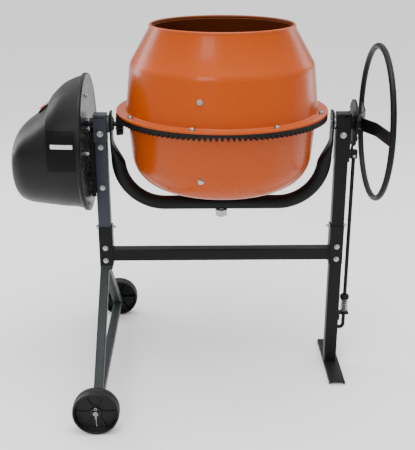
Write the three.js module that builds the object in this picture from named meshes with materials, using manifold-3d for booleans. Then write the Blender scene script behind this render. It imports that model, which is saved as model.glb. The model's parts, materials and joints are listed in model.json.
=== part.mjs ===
// Concrete mixer with a tilting drum, in millimetres, +Z up. The cross bar runs along X, the wheel axle
// along Y. The drum hangs in a bail that tilts about X; the ring gear round the drum is turned by a pinion
// on the tilt axis. Places are measured from the drum's axis and the floor, and the last lines centre the
// whole machine on its own outline.

import * as THREE from "three";
import { mergeVertices } from "three/addons/utils/BufferGeometryUtils.js";
import Module from "manifold-3d";

const wasm = await Module();
wasm.setup();

// ---------------------------------------------------------------- driving dimensions

const gap = 0.3; // between pieces that touch or are fastened together
const runGap = 0.5; // round pieces that turn inside one another
const sheet = 3; // pressed brackets

const tiltHeight = 838; // floor to the tilt axis
const gearModule = 5; // tooth size of the ring gear and its pinion
const ringTeeth = 126;
const pinionTeeth = 12;
const pressureAngle = THREE.MathUtils.degToRad(25);
const backlash = 0.5; // taken off each tooth's thickness, on both gears
const ringFace = 22; // length of a ring tooth, along the radius
const ringBody = 8; // solid back of the ring gear

const drumSkin = 2.5; // drum sheet
const flangeWidth = 30; // drum wall to the flange's edge
const mouthR = 212; // middle of the rolled lip
const mouthHeight = 297; // tilt axis up to the rolled lip
const lipR = 4.5; // the rolled lip itself
const shoulderHeight = 187; // where the wall turns into the cone
const bowlDepth = 182; // tilt axis down to the bowl's floor
const bowlCornerR = 100;
const bowlFloorR = 267; // the bowl's wall carried down to the floor's level
const drumSides = 32;

const paddleReach = 78; // how far a mixing arm stands in from the wall
const paddleWidth = 50;
const paddleSheet = 4;
const paddleTop = 123; // bolt heights above and below the tilt axis
const paddleFoot = -103;

const hubR = 38; // bearing housing under the bowl
const hubHeight = 48;
const hubDrop = 42; // bowl's floor down to the hub's lower end
const hubClear = 9; // hub to the bail
const hubFlangeR = 70;
const spindleR = 15;
const bearingR = 31; // spindle bearings
const bearingWidth = 16;

const bailTube = 44; // bail tube's diameter
const bailBendR = 165; // outside of the bail's two bends
const bailPlate = 7; // its flattened ends
const bailPlateWidth = 60;
const bailRise = 38; // flattened end above the tilt axis
const bailWall = 2.5;

const postSize = 40; // square tube
const postWall = 2;
const postGap = 9; // bail to post
const jointHeight = 131; // saddle at each end of the cross bar
const crossbarHeight = 39;
const crossbarLift = 14; // saddle's lower end to the cross bar
const legSize = 28; // tubes of the axle frame
const legWall = 2;
const legFootY = 335; // where a leg meets the axle beam
const beamHalf = 352; // half the axle beam
const footLength = 288;
const footWidth = 51;
const footHeight = 12;

const wheelR = 70;
const wheelWidth = 43;
const wheelFaceY = 411; // outer face of each wheel
const axleR = 8;
const wheelRibs = 6;

const driveShaftR = 8;
const sleeveR = 19; // fixed sleeve that carries the shaft and the bail
const sleeveWall = 2.7;
const shaftBearingWidth = 9;
const drivePulleyR = 105;
const motorPulleyR = 22;
const pulleyWidth = 20;
const beltWidth = 14;
const beltThickness = 4;
const motorR = 60;
const motorLength = 104;
const motorShaftR = 7;

const housingR = 204; // round end of the motor cover
const housingRim = 7; // how far its flange stands out
const housingDrop = 57; // tilt axis down to the housing's centre
const coverWall = 3;
const coverSides = 20;

const trunnionR = 12.5; // shaft on the handwheel side
const discR = 72; // notched locking disc
const discThickness = 6;
const notchDepth = 14;
const notchWidth = 12;
const notchStep = 23; // degrees from notch to notch
const notchesEachSide = 5;
const wheelRimR = 231; // handwheel, middle of its tube
const wheelRimTube = 8;
const handwheelOffset = 122; // post's inner face to the rim's plane
const strapWidth = 40;
const strapThickness = 5;
const rodR = 6; // locking rod

// ---------------------------------------------------------------- worked-out places

const ringPitchR = (gearModule * ringTeeth) / 2;
const pinionPitchR = (gearModule * pinionTeeth) / 2;
const ringOuterR = ringPitchR + 5;
const ringRoot = pinionPitchR + 1.25 * gearModule; // height of the tooth roots above the tilt axis
const ringTop = ringRoot + ringBody;
const bowlFlangeZ = ringTop + gap;
const topFlangeZ = bowlFlangeZ + drumSkin + gap;
const wallR = ringOuterR - flangeWidth; // drum wall at the flange
const shoulderR = wallR - 14;

const bailOuterX = ringOuterR + 22.5;
const bailDrop = bowlDepth + hubDrop + hubClear + bailTube; // tilt axis down to the bail's underside
const postInnerX = bailOuterX + postGap;
const postX = postInnerX + postSize / 2;
const postOuterX = postInnerX + postSize;
const postTop = tiltHeight + 28.5;
const swingR = Math.hypot(mouthHeight + lipR, mouthR + lipR); // furthest corner of the drum as it tilts
const crossbarTop = tiltHeight - swingR - 38;
const jointBottom = crossbarTop - crossbarHeight - crossbarLift;
const jointTop = jointBottom + jointHeight;
const spigotTop = jointTop - 18;
const headBoltLeftZ = tiltHeight - 26.5;
const headBoltRightZ = tiltHeight - 33.5;
const m8 = 4;
const m10 = 5;

const axleZ = wheelR;
const legX = -(postOuterX - legSize / 2);
const plateTop = jointBottom - 0.5;

const backplateX = -(postOuterX + 15); // backplate's face towards the post
const plateSheet = 3;
const coverFaceX = backplateX - plateSheet - gap; // where the cover meets the backplate
const housingZ = tiltHeight - housingDrop;
const pulleyX = coverFaceX - 60; // outer side of both pulleys
const pulleyInnerX = pulleyX + pulleyWidth;
const motorZ = tiltHeight - drivePulleyR - motorPulleyR - 21;
const bracketX = pulleyX - 25; // motor bracket's face towards the motor
const motorFaceX = bracketX - gap;
const sleeveOuterX = -(postOuterX + 12);
const sleeveInnerX = -(bailOuterX - 12.5);
const pinionInnerX = -(ringPitchR - 13);
const pinionOuterX = -(ringPitchR + 7);

const discX = postOuterX + 10;
const strapX = discX + 24.5;
const rimX = postInnerX + handwheelOffset;
const rodX = postOuterX + 19.5;
const discBottomZ = tiltHeight - discR;
const guideZ = 189; // plate that holds the locking rod off the post
const cupZ = 243; // underside of the foot cup
const rodFootZ = 137;

const spindleShoulderZ = -(bailDrop - bailTube) + gap;
const hubBottomZ = -(bowlDepth + hubDrop);

const panelTop = new THREE.Vector2(coverFaceX - 100.5, housingZ + 128); // switch panel's upper edge
const panelSlope = Math.atan2(38, 46.5);

// ---------------------------------------------------------------- finishes

const paint = (color, roughness = 0.35, metalness = 0) =>
  new THREE.MeshStandardMaterial({ color, roughness, metalness });
const orange = paint(0xc4581c, 0.28);
const black = paint(0x2b2c2f, 0.45);
const slate = paint(0x3c3f47, 0.45);
const legGrey = paint(0x434b4d, 0.5);
const castBlack = paint(0x1b1a1a, 0.6);
const plastic = paint(0x26282b, 0.42);
const rubber = paint(0x202124, 0.8);
const red = paint(0xb3261e, 0.4);
const pale = paint(0xc9cbc8, 0.4);
const nylon = paint(0x8d8f8a, 0.6);
const zinc = paint(0xc6c8c6, 0.3, 1);
const steel = paint(0x8b8d8f, 0.35, 1);
const aluminium = paint(0xa9abad, 0.4, 1);
const bronze = paint(0x9a7440, 0.4, 1);

// ---------------------------------------------------------------- shape helpers

// Merged corners, no collapsed triangles, faces pointing out.
function tidy(geometry) {
  const bare = geometry.clone();
  bare.deleteAttribute("normal");
  bare.deleteAttribute("uv");
  const merged = mergeVertices(bare, 1e-4);
  const source = merged.index.array;
  const kept = [];
  for (let i = 0; i < source.length; i += 3) {
    const [a, b, c] = [source[i], source[i + 1], source[i + 2]];
    if (a !== b && b !== c && c !== a) kept.push(a, b, c);
  }
  const place = merged.attributes.position;
  const corner = (i) => new THREE.Vector3().fromBufferAttribute(place, i);
  let volume = 0;
  for (let i = 0; i < kept.length; i += 3) {
    volume += corner(kept[i]).dot(corner(kept[i + 1]).cross(corner(kept[i + 2])));
  }
  if (volume < 0) {
    for (let i = 0; i < kept.length; i += 3) [kept[i], kept[i + 1]] = [kept[i + 1], kept[i]];
  }
  merged.setIndex(kept);
  return merged;
}

function solid(geometry) {
  const closed = tidy(geometry);
  const vertProperties = new Float32Array(closed.attributes.position.array);
  const triVerts = new Uint32Array(closed.index.array);
  return new wasm.Manifold(new wasm.Mesh({ numProp: 3, vertProperties, triVerts }));
}

function surface(body) {
  const { vertProperties, triVerts } = body.getMesh();
  const geometry = new THREE.BufferGeometry();
  geometry.setAttribute("position", new THREE.BufferAttribute(new Float32Array(vertProperties), 3));
  geometry.setIndex(new THREE.BufferAttribute(new Uint32Array(triVerts), 1));
  return geometry;
}

const join = (...pieces) => surface(pieces.map(solid).reduce((a, b) => a.add(b)));
const cut = (base, ...tools) => surface(tools.map(solid).reduce((a, b) => a.subtract(b), solid(base)));

function box(x0, x1, y0, y1, z0, z1) {
  const geometry = new THREE.BoxGeometry(x1 - x0, y1 - y0, z1 - z0);
  return geometry.translate((x0 + x1) / 2, (y0 + y1) / 2, (z0 + z1) / 2);
}

// Turns a shape made along +Y so that it runs along the named axis.
function along(axis, geometry) {
  if (axis === "x") return geometry.rotateZ(-Math.PI / 2);
  if (axis === "z") return geometry.rotateX(Math.PI / 2);
  return geometry;
}

function rod(axis, radius, from, to, sides = 16) {
  const geometry = new THREE.CylinderGeometry(radius, radius, to - from, sides);
  return along(axis, geometry.translate(0, (from + to) / 2, 0));
}

// Profile points are [radius, distance along the axis].
function turned(axis, profile, sides = 24) {
  const points = profile.map(([radius, height]) => new THREE.Vector2(radius, height));
  return along(axis, new THREE.LatheGeometry(points, sides));
}

function ring(axis, inner, outer, from, to, sides = 24) {
  return turned(axis, [[inner, from], [outer, from], [outer, to], [inner, to], [inner, from]], sides);
}

// An outline in the XY, YZ or XZ plane, carried along the third axis.
function prism(plane, outline, from, to) {
  const shape = new THREE.Shape(outline.map(([u, v]) => new THREE.Vector2(u, v)));
  const geometry = new THREE.ExtrudeGeometry(shape, { depth: to - from, bevelEnabled: false });
  if (plane === "xy") return geometry.translate(0, 0, from);
  if (plane === "xz") return geometry.rotateX(Math.PI / 2).translate(0, to, 0);
  return geometry.rotateX(Math.PI / 2).rotateZ(Math.PI / 2).translate(from, 0, 0);
}

// A skin over rings of equally many points, closed at both ends. The end rings are convex.
function loft(rings) {
  const count = rings[0].length;
  const places = rings.flat().flatMap((point) => [point.x, point.y, point.z]);
  const faces = [];
  for (let i = 0; i + 1 < rings.length; i += 1) {
    for (let j = 0; j < count; j += 1) {
      const [a, b] = [i * count + j, i * count + ((j + 1) % count)];
      faces.push(a, b, b + count, a, b + count, a + count);
    }
  }
  const last = (rings.length - 1) * count;
  for (let j = 1; j + 1 < count; j += 1) faces.push(0, j + 1, j, last, last + j, last + j + 1);
  const geometry = new THREE.BufferGeometry();
  geometry.setAttribute("position", new THREE.Float32BufferAttribute(places, 3));
  geometry.setIndex(faces);
  return geometry;
}

// Bores of turning fits are widened so that even the flats of their facets clear the shaft.
const facetBore = (radius, clearance, sides) => (radius + clearance) / Math.cos(Math.PI / sides);

// Hexagon head, shank and nut in one, from head to nut along an axis.
function throughBolt(axis, radius, from, to, washer = 0) {
  const head = radius * 1.25;
  const pieces = [
    rod(axis, radius, from - 1, to + head + 2, 10),
    rod(axis, radius * 1.95, from - head, from, 6),
    rod(axis, radius * 1.95, to, to + head, 6),
  ];
  if (washer) pieces.push(rod(axis, washer, from - 1.6, from, 20));
  return join(...pieces);
}

const squareTube = (size, wall, from, to) =>
  cut(
    box(-size / 2, size / 2, -size / 2, size / 2, from, to),
    box(-size / 2 + wall, size / 2 - wall, -size / 2 + wall, size / 2 - wall, from - 1, to + 1),
  );

const at = (geometry, x, y, z) => geometry.clone().translate(x, y, z);
const range = (count) => Array.from({ length: count }, (_, i) => i);

// ---------------------------------------------------------------- the machine's groups

const mixer = new THREE.Group();
const cradle = new THREE.Group(); // all that tilts, measured from the tilt axis
cradle.position.z = tiltHeight;
mixer.add(cradle);
const drum = new THREE.Group(); // all that turns on the spindle
cradle.add(drum);

function part(group, name, geometry, material) {
  const mesh = new THREE.Mesh(tidy(geometry), material);
  mesh.name = name;
  mesh.geometry.computeVertexNormals();
  group.add(mesh);
}

// ---------------------------------------------------------------- posts and their heads

const boltHole = (x, z, radius) => at(rod("y", facetBore(radius, gap, 8), -postSize, postSize, 8), x, 0, z);

const sleeveHole = (from, to) => {
  const hole = rod("x", facetBore(sleeveR, gap, 20), from, to, 20);
  return hole.translate(0, 0, tiltHeight);
};

function leftPost() {
  const tube = at(squareTube(postSize, postWall, jointBottom, postTop), -postX, 0, 0);
  return cut(tube, sleeveHole(-postOuterX - 5, -postInnerX + 5), boltHole(-postX, headBoltLeftZ, m10));
}

function rightPost() {
  const tube = at(squareTube(postSize, postWall, footHeight + gap, postTop), postX, 0, 0);
  return cut(tube, sleeveHole(postInnerX - 5, postOuterX + 5), boltHole(postX, headBoltRightZ, m8));
}

// A strip folded over the post's top, with a row of slots along the fold.
function headCap(side, width, bottom, boltZ, boltR) {
  const x = side < 0 ? -postX : postX + (width - postSize) / 2;
  const inner = postSize / 2 + gap;
  const outer = inner + sheet;
  const top = postTop + 0.5;
  const outline = [
    [-outer, bottom], [-inner, bottom], [-inner, top], [inner, top], [inner, bottom], [outer, bottom],
    [outer, top], [outer - 1.5, top + sheet], [1.5 - outer, top + sheet], [-outer, top],
  ];
  const strip = prism("yz", outline, x - width / 2, x + width / 2);
  const slots = range(4).map((i) => {
    const slotX = x + (i - 1.5) * 8;
    return box(slotX - 2, slotX + 2, -outer - 1, -inner + 1, top - 8, top - 4);
  });
  return cut(strip, boltHole(side * postX, boltZ, boltR), ...slots);
}

part(mixer, "left_post", leftPost(), slate);
part(mixer, "right_post", rightPost(), black);
const leftCap = headCap(-1, postSize, tiltHeight - 52, headBoltLeftZ, m10);
const rightCap = headCap(1, postSize + 3, tiltHeight - 119, headBoltRightZ, m8);
part(mixer, "left_head_cap", leftCap, slate);
part(mixer, "right_head_cap", rightCap, black);

const capFace = postSize / 2 + gap + sheet + gap;
const placeBolt = (name, x, z, radius, face, washer) =>
  part(mixer, name, at(throughBolt("y", radius, -face, face, washer), x, 0, z), zinc);
placeBolt("head_bolt_left", -postX, headBoltLeftZ, m10, capFace, 11);
placeBolt("head_bolt_right", postX, headBoltRightZ, m8, capFace, 9);

// ---------------------------------------------------------------- cross bar and saddles

// Channel that takes the post between its two flanges; its web is welded to the cross bar.
function saddle(side) {
  const web = postInnerX - gap;
  const inner = postSize / 2 + gap;
  const outer = inner + sheet;
  const outline = [
    [postOuterX, -outer], [postOuterX, -inner], [web, -inner], [web, inner],
    [postOuterX, inner], [postOuterX, outer], [web - sheet, outer], [web - sheet, -outer],
  ];
  const channel = prism("xy", outline, jointBottom, jointTop);
  return side > 0 ? channel : channel.scale(-1, 1, 1);
}

function crossbar() {
  const half = postInnerX - gap - sheet / 2;
  const low = crossbarTop - crossbarHeight;
  const outer = box(-half, half, -postSize / 2, postSize / 2, low, crossbarTop);
  const hollow = postSize / 2 - postWall;
  const weepHole = at(rod("z", 3, low - 1, low + postWall + 1, 8), 60, 0, 0);
  const inside = box(sheet - half, half - sheet, -hollow, hollow, low + postWall, crossbarTop - postWall);
  return cut(join(outer, saddle(-1), saddle(1)), inside, weepHole);
}

part(mixer, "crossbar", crossbar(), black);

// ---------------------------------------------------------------- axle frame and foot

function legBox(side, size, from, to) {
  const start = new THREE.Vector2(8 * side, plateTop - 16);
  const end = new THREE.Vector2(legFootY * side, axleZ + 5);
  const length = start.distanceTo(end);
  const direction = end.clone().sub(start).normalize();
  const middle = start.clone().addScaledVector(direction, (from + length - to) / 2);
  const geometry = new THREE.BoxGeometry(size, size, length - from - to);
  geometry.rotateX(Math.atan2(-direction.x, direction.y));
  return geometry.translate(legX, middle.x, middle.y);
}

// Two legs, the beam that holds the axle, and the spigot that goes up into the left post.
function axleFrame() {
  const half = legSize / 2;
  const inner = half - legWall;
  const spigot = postSize / 2 - postWall - 0.5;
  const endBlock = 22;
  const outer = [
    box(-postOuterX, -postInnerX, -postSize / 2 - 3, postSize / 2 + 3, plateTop - 12, plateTop),
    box(-postX - spigot, -postX + spigot, -spigot, spigot, plateTop - 1, spigotTop),
    box(legX - half, legX + half, -beamHalf, beamHalf, axleZ - half, axleZ + half),
    legBox(1, legSize, 0, 0),
    legBox(-1, legSize, 0, 0),
  ];
  const beamEnd = beamHalf - endBlock;
  const hollows = [
    box(legX - inner, legX + inner, -beamEnd, beamEnd, axleZ - inner, axleZ + inner),
    legBox(1, 2 * inner, 30, 0),
    legBox(-1, 2 * inner, 30, 0),
    box(-postX - spigot + 2, -postX + spigot - 2, 2 - spigot, spigot - 2, plateTop + 2, spigotTop + 1),
    at(rod("y", axleR + gap, -beamHalf - 1, beamHalf + 1, 16), legX, 0, axleZ),
  ];
  return cut(join(...outer), ...hollows);
}

function supportFoot() {
  const [left, right] = [postInnerX, postInnerX + footWidth];
  const outline = [
    [left, 0], [left + sheet, 0], [left + sheet, footHeight - sheet], [right - sheet, footHeight - sheet],
    [right - sheet, 0], [right, 0], [right, footHeight], [left, footHeight],
  ];
  return prism("xz", outline, -footLength / 2, footLength / 2);
}

part(mixer, "axle_frame", axleFrame(), legGrey);
part(mixer, "support_foot", supportFoot(), black);

// ---------------------------------------------------------------- axle and wheels

const hubFaceY = wheelFaceY - 13; // outer end of a wheel's hub
const hubBackY = beamHalf + 1;
const pinY = hubFaceY + 4;

function wheel() {
  const back = wheelFaceY - wheelWidth;
  const web = (back + wheelFaceY) / 2;
  const bore = axleR + runGap;
  const profile = [
    [bore, hubBackY], [18, hubBackY], [18, web - 4], [wheelR - 10, web - 4], [wheelR - 8, back + 2],
    [wheelR - 4, back], [wheelR, back + 5], [wheelR, wheelFaceY - 5], [wheelR - 4, wheelFaceY],
    [wheelR - 8, wheelFaceY - 2], [wheelR - 10, web + 4], [18, web + 4], [18, hubFaceY],
    [bore, hubFaceY], [bore, hubBackY],
  ];
  const ribs = range(wheelRibs).map((i) => {
    const rib = box(14, wheelR - 9, back + 8, hubFaceY - 2, -1.6, 1.6);
    return rib.rotateY((i * 2 * Math.PI) / wheelRibs + 0.35);
  });
  const boreCut = rod("y", bore + 0.2, hubBackY - 1, hubFaceY + 1, 16);
  return cut(join(turned("y", profile, 24), ...ribs), boreCut);
}

function axle() {
  const bar = rod("y", axleR, -pinY - 6, pinY + 6, 16);
  return cut(bar, at(rod("z", 2.4, -20, 20, 8), 0, pinY, 0), at(rod("z", 2.4, -20, 20, 8), 0, -pinY, 0));
}

// Split pin: an eye above the axle and one long leg hanging below.
function splitPin() {
  const eye = new THREE.TorusGeometry(4, 1.6, 5, 10).rotateX(Math.PI / 2).translate(0, 0, axleR + 5);
  return join(rod("z", 1.8, -46, axleR + 2, 6), eye);
}

part(mixer, "axle", at(axle(), legX, 0, axleZ), steel);
[["front", -1], ["rear", 1]].forEach(([end, side]) => {
  const place = (geometry) => (side < 0 ? geometry.scale(-1, -1, 1) : geometry).translate(legX, 0, axleZ);
  part(mixer, `wheel_${end}`, place(wheel()), rubber);
  part(mixer, `split_pin_${end}`, at(splitPin(), legX, side * pinY, axleZ), zinc);
});

// ---------------------------------------------------------------- drum

// Radius of the bowl's wall at a height above the tilt axis, down to where its rounded corner starts.
const bowlWallR = (z) => bowlFloorR + ((wallR - 3 - bowlFloorR) * (z + bowlDepth)) / (bowlDepth + 45);
const bowlLean = Math.atan2(bowlWallR(0) - bowlWallR(-100), 100);
const cornerZ = -bowlDepth + bowlCornerR;
const cornerR = bowlWallR(cornerZ) - bowlCornerR / Math.cos(bowlLean);
const bowlInsideR = (z) => {
  const drop = Math.max(0, cornerZ - z);
  return Math.min(bowlWallR(z), cornerR + Math.sqrt(bowlCornerR ** 2 - drop ** 2)) - drumSkin;
};
const upperWallR = (z) => wallR + ((shoulderR - wallR) * (z - topFlangeZ)) / (shoulderHeight - topFlangeZ);

const paddleAngles = [THREE.MathUtils.degToRad(-104), THREE.MathUtils.degToRad(76)];

function upperShell() {
  const slope = Math.atan2(mouthHeight - shoulderHeight, shoulderR - mouthR);
  const bendAngles = [0.15, 0.5, 0.85];
  const bendR = 34;
  const bendX = shoulderR - bendR;
  const outer = bendAngles.map((t) => {
    const angle = t * (Math.PI / 2 - slope + 0.35);
    return [bendX + bendR * Math.cos(angle), shoulderHeight - 8 + bendR * Math.sin(angle)];
  });
  const lip = range(5).map((i) => {
    const angle = -0.6 + (i * Math.PI) / 2.3;
    return [mouthR + lipR * Math.cos(angle), mouthHeight + lipR * Math.sin(angle)];
  });
  const inner = outer.map(([radius, z]) => [radius - drumSkin, z - 0.6]).reverse();
  const profile = [
    [wallR - drumSkin, topFlangeZ], [ringOuterR, topFlangeZ], [ringOuterR, topFlangeZ + drumSkin],
    [wallR, topFlangeZ + drumSkin], ...outer, ...lip, [mouthR - lipR, mouthHeight - 4], ...inner,
    [wallR - drumSkin, topFlangeZ],
  ];
  return turned("z", profile, drumSides);
}

function bowl() {
  const arc = (radius) =>
    range(6).map((i) => {
      const angle = -Math.PI / 2 + (i * (Math.PI / 2 - bowlLean)) / 5;
      return [cornerR + radius * Math.cos(angle), cornerZ + radius * Math.sin(angle)];
    });
  const rim = bowlFlangeZ;
  const wall = bowlWallR(rim);
  const hole = hubR + gap;
  const profile = [
    [hole, -bowlDepth], ...arc(bowlCornerR), [wall, rim], [ringOuterR, rim], [ringOuterR, rim + drumSkin],
    [wall - drumSkin, rim + drumSkin], ...arc(bowlCornerR - drumSkin).reverse(),
    [hole, -bowlDepth + drumSkin], [hole, -bowlDepth],
  ];
  return turned("z", profile, drumSides);
}

// Crown gear: teeth point down from a flat ring, and each narrows towards the middle of the tilt axis.
function ringGear() {
  const tip = pinionPitchR - gearModule;
  const halfPitch = (Math.PI * gearModule) / 4;
  const halfTooth = (z) => halfPitch - backlash / 2 - (pinionPitchR - z) * Math.tan(pressureAngle);
  const [wide, narrow] = [halfTooth(ringRoot), halfTooth(tip)];
  const outline = [[-wide, ringRoot], [-narrow, tip], [narrow, tip], [wide, ringRoot]];
  const places = [];
  const faces = [];
  const perTooth = 10; // a top corner and four tooth corners, at the outer and at the inner end
  range(ringTeeth).forEach((i) => {
    const turn = Math.PI + (i * 2 * Math.PI) / ringTeeth; // one tooth meets the pinion, whatever their number
    [ringOuterR, ringOuterR - ringFace].forEach((radius) => {
      const share = radius / ringPitchR;
      const corners = outline.map(([across, z]) => [across / ringPitchR, z * share]);
      [[corners[0][0], ringTop], ...corners].forEach(([angle, z]) => {
        places.push(radius * Math.cos(turn + angle), radius * Math.sin(turn + angle), z);
      });
    });
    const [o, n] = [i * perTooth, ((i + 1) % ringTeeth) * perTooth];
    [[o, n, 1], [o + 5, n + 5, -1]].forEach(([a, b, side]) => {
      const fan = [a + 1, a + 2, a + 3, a + 4, b + 1, b];
      range(5).forEach((k) => faces.push(...(side > 0 ? [a, fan[k], fan[k + 1]] : [a, fan[k + 1], fan[k]])));
    });
    [[o + 1, o + 2], [o + 2, o + 3], [o + 3, o + 4], [o + 4, n + 1], [n, o]].forEach(([a, b]) => {
      faces.push(a, a + 5, b, b, a + 5, b + 5);
    });
  });
  const geometry = new THREE.BufferGeometry();
  geometry.setAttribute("position", new THREE.Float32BufferAttribute(places, 3));
  geometry.setIndex(faces);
  return geometry;
}

// Flat strip bent into a mixing arm: a foot on the wall above and below, and a straight run between them.
function paddle(angle) {
  const wallGap = 5; // the flat foot's edges come nearest to the round wall
  const top = (z) => upperWallR(z) - drumSkin - wallGap;
  const foot = (z) => bowlInsideR(z) - wallGap;
  const run = foot(paddleFoot) - paddleReach;
  const [topLow, footHigh, footLow] = [paddleTop - 22, paddleFoot + 20, paddleFoot - 16];
  const outline = [
    [top(paddleTop + 22), paddleTop + 22], [top(topLow), topLow], [run + paddleSheet, topLow - 52],
    [run + paddleSheet, footHigh + 54], [foot(footHigh), footHigh], [foot(footLow), footLow],
    [foot(footLow) - paddleSheet, footLow], [foot(footHigh) - paddleSheet, footHigh - 2],
    [run, footHigh + 51], [run, topLow - 49], [top(topLow) - paddleSheet, topLow + 2],
    [top(paddleTop + 22) - paddleSheet, paddleTop + 22],
  ];
  return prism("xz", outline, -paddleWidth / 2, paddleWidth / 2).rotateZ(angle);
}

// Bearing housing bolted under the bowl.
function hub() {
  const seat = -bowlDepth - gap;
  const lip = hubBottomZ + hubHeight;
  const seatR = facetBore(bearingR, gap, 20);
  return turned("z", [
    [seatR, hubBottomZ], [hubR, hubBottomZ], [hubR, seat - 18], [hubFlangeR, seat - 8],
    [hubFlangeR, seat], [hubR, seat], [hubR, lip], [seatR, lip], [seatR, hubBottomZ],
  ], 20);
}

function ballBearing(axis, shaftR, outer, from, width) {
  return ring(axis, facetBore(shaftR, 0.2, 16), outer, from, from + width, 16);
}

function hubCap() {
  const foot = hubBottomZ + hubHeight + gap;
  return turned("z", [
    [hubR + 6, foot], [hubR + 6, foot + 6], [hubR - 2, foot + 20], [20, foot + 27], [0, foot + 28.5],
    [0, foot + 26], [19, foot + 24.5], [hubR - 4, foot + 18.5], [hubR - 4, foot], [hubR + 6, foot],
  ], 16);
}

part(drum, "drum_upper_shell", upperShell(), orange);
part(drum, "drum_bowl", bowl(), orange);
part(drum, "ring_gear", ringGear(), castBlack);
paddleAngles.forEach((angle, i) => part(drum, `mixing_paddle_${i + 1}`, paddle(angle), orange));
part(drum, "drum_hub", hub(), castBlack);
const spindleBearing = (from) => ballBearing("z", spindleR, bearingR, from, bearingWidth);
part(drum, "spindle_bearing_lower", spindleBearing(hubBottomZ + 1), steel);
part(drum, "spindle_bearing_upper", spindleBearing(hubBottomZ + hubHeight - bearingWidth - 1), steel);
part(drum, "hub_cap", hubCap(), orange);

// ---------------------------------------------------------------- bail, spindle and trunnions

// The tube follows the bail's outer line; near each end it is pressed flat against that line.
function bailRings(wall) {
  const steps = [];
  const flatEnd = -50;
  const roundFrom = -128;
  const bendZ = -(bailDrop - bailBendR);
  const bendX = -(bailOuterX - bailBendR);
  const flat = (z) => THREE.MathUtils.smoothstep(z, roundFrom, flatEnd);
  const straight = [bailRise, bailRise - 8, flatEnd, -75, -97, bendZ];
  straight.forEach((z) => steps.push({ x: -bailOuterX, z, nx: 1, nz: 0, flat: flat(z) }));
  range(6).forEach((i) => {
    const angle = Math.PI + ((i + 1) * Math.PI) / 12;
    const [c, s] = [Math.cos(angle), Math.sin(angle)];
    const z = bendZ + bailBendR * s;
    steps.push({ x: bendX + bailBendR * c, z, nx: -c, nz: -s, flat: flat(z) });
  });
  const mirrored = steps.map((step) => ({ ...step, x: -step.x, nx: -step.nx })).reverse();
  const tipWidths = { [bailRise]: 40 };
  return [...steps, ...mirrored].map((step) => {
    const thick = THREE.MathUtils.lerp(bailTube, bailPlate, step.flat);
    const wide = tipWidths[step.z] ?? THREE.MathUtils.lerp(bailTube, bailPlateWidth, step.flat);
    const power = 1 - 0.55 * step.flat;
    return range(12).map((j) => {
      const angle = ((j + 0.5) * Math.PI) / 6;
      const [c, s] = [Math.cos(angle), Math.sin(angle)];
      const across = Math.sign(c) * Math.abs(c) ** power * (thick / 2 - wall) + thick / 2;
      const y = Math.sign(s) * Math.abs(s) ** power * (wide / 2 - wall);
      return new THREE.Vector3(step.x + step.nx * across, y, step.z + step.nz * across);
    });
  });
}

function bail() {
  const skin = bailRings(0);
  const hollow = bailRings(bailWall).slice(5, -5);
  const low = -bailDrop;
  return cut(
    loft(skin), loft(hollow), rod("z", 12 + gap, low - 5, low + bailTube + 5, 20),
    rod("x", sleeveR + 4, -bailOuterX - 3, -bailOuterX + bailPlate + 3, 24),
    rod("x", trunnionR + gap, bailOuterX - bailPlate - 3, bailOuterX + 3, 20),
  );
}

// Shoulder resting on the bail, bearing seat above it, thread through the bail below it.
function spindle() {
  const low = -bailDrop;
  const top = hubBottomZ + hubHeight;
  return turned("z", [
    [0, low - 24], [12, low - 24], [12, spindleShoulderZ], [21, spindleShoulderZ], [21, hubBottomZ - 0.6],
    [spindleR, hubBottomZ - 0.6], [spindleR, top + 1], [10, top + 1], [10, top + 16], [0, top + 16],
  ], 16);
}

function hexNut(axis, bore, across, from, to) {
  return cut(rod(axis, across / Math.sqrt(3), from, to, 6), rod(axis, bore + gap, from - 1, to + 1, 16));
}

// Bush that lets the bail's left end turn on the fixed sleeve.
const bushFaceX = -bailOuterX - gap;
const bushEndX = -bailOuterX + bailPlate + 3;
const bailBush = turned("x", [
  [sleeveR + gap, -postInnerX + 0.8], [27, -postInnerX + 0.8], [27, bushFaceX], [sleeveR + 3.7, bushFaceX],
  [sleeveR + 3.7, bushEndX], [sleeveR + gap, bushEndX], [sleeveR + gap, -postInnerX + 0.8],
]);

function trunnionShaft() {
  const plate = bailOuterX - bailPlate;
  return turned("x", [
    [0, plate - 3], [trunnionR, plate - 3], [trunnionR, bailOuterX + gap], [20, bailOuterX + gap],
    [20, postInnerX - 3], [trunnionR, postInnerX - 3], [trunnionR, strapX + strapThickness + 1],
    [9, strapX + strapThickness + 1], [9, strapX + strapThickness + 14], [0, strapX + strapThickness + 14],
  ], 20);
}

part(cradle, "bail", bail(), black);
part(cradle, "drum_spindle", spindle(), steel);
part(cradle, "spindle_nut", hexNut("z", 12, 36, -bailDrop - 20, -bailDrop - gap), zinc);
const spindleTop = hubBottomZ + hubHeight + 1;
part(cradle, "spindle_top_nut", hexNut("z", 10, 30, spindleTop + gap, spindleTop + 10), zinc);
part(cradle, "bail_bush", bailBush, nylon);
part(cradle, "trunnion_shaft", trunnionShaft(), steel);

// ---------------------------------------------------------------- locking disc and handwheel

function lockDisc() {
  const disc = ring("x", trunnionR + gap, discR, discX, discX + discThickness, 36);
  const boss = ring("x", trunnionR + gap, 20, postOuterX + 6, strapX - gap, 20);
  const notches = range(2 * notchesEachSide + 1).map((i) => {
    const half = notchWidth / 2;
    const notch = box(discX - 1, discX + discThickness + 1, -half, half, -discR - 5, notchDepth - discR);
    return notch.rotateX(THREE.MathUtils.degToRad((i - notchesEachSide) * notchStep));
  });
  return cut(join(disc, boss), ...notches);
}

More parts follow.
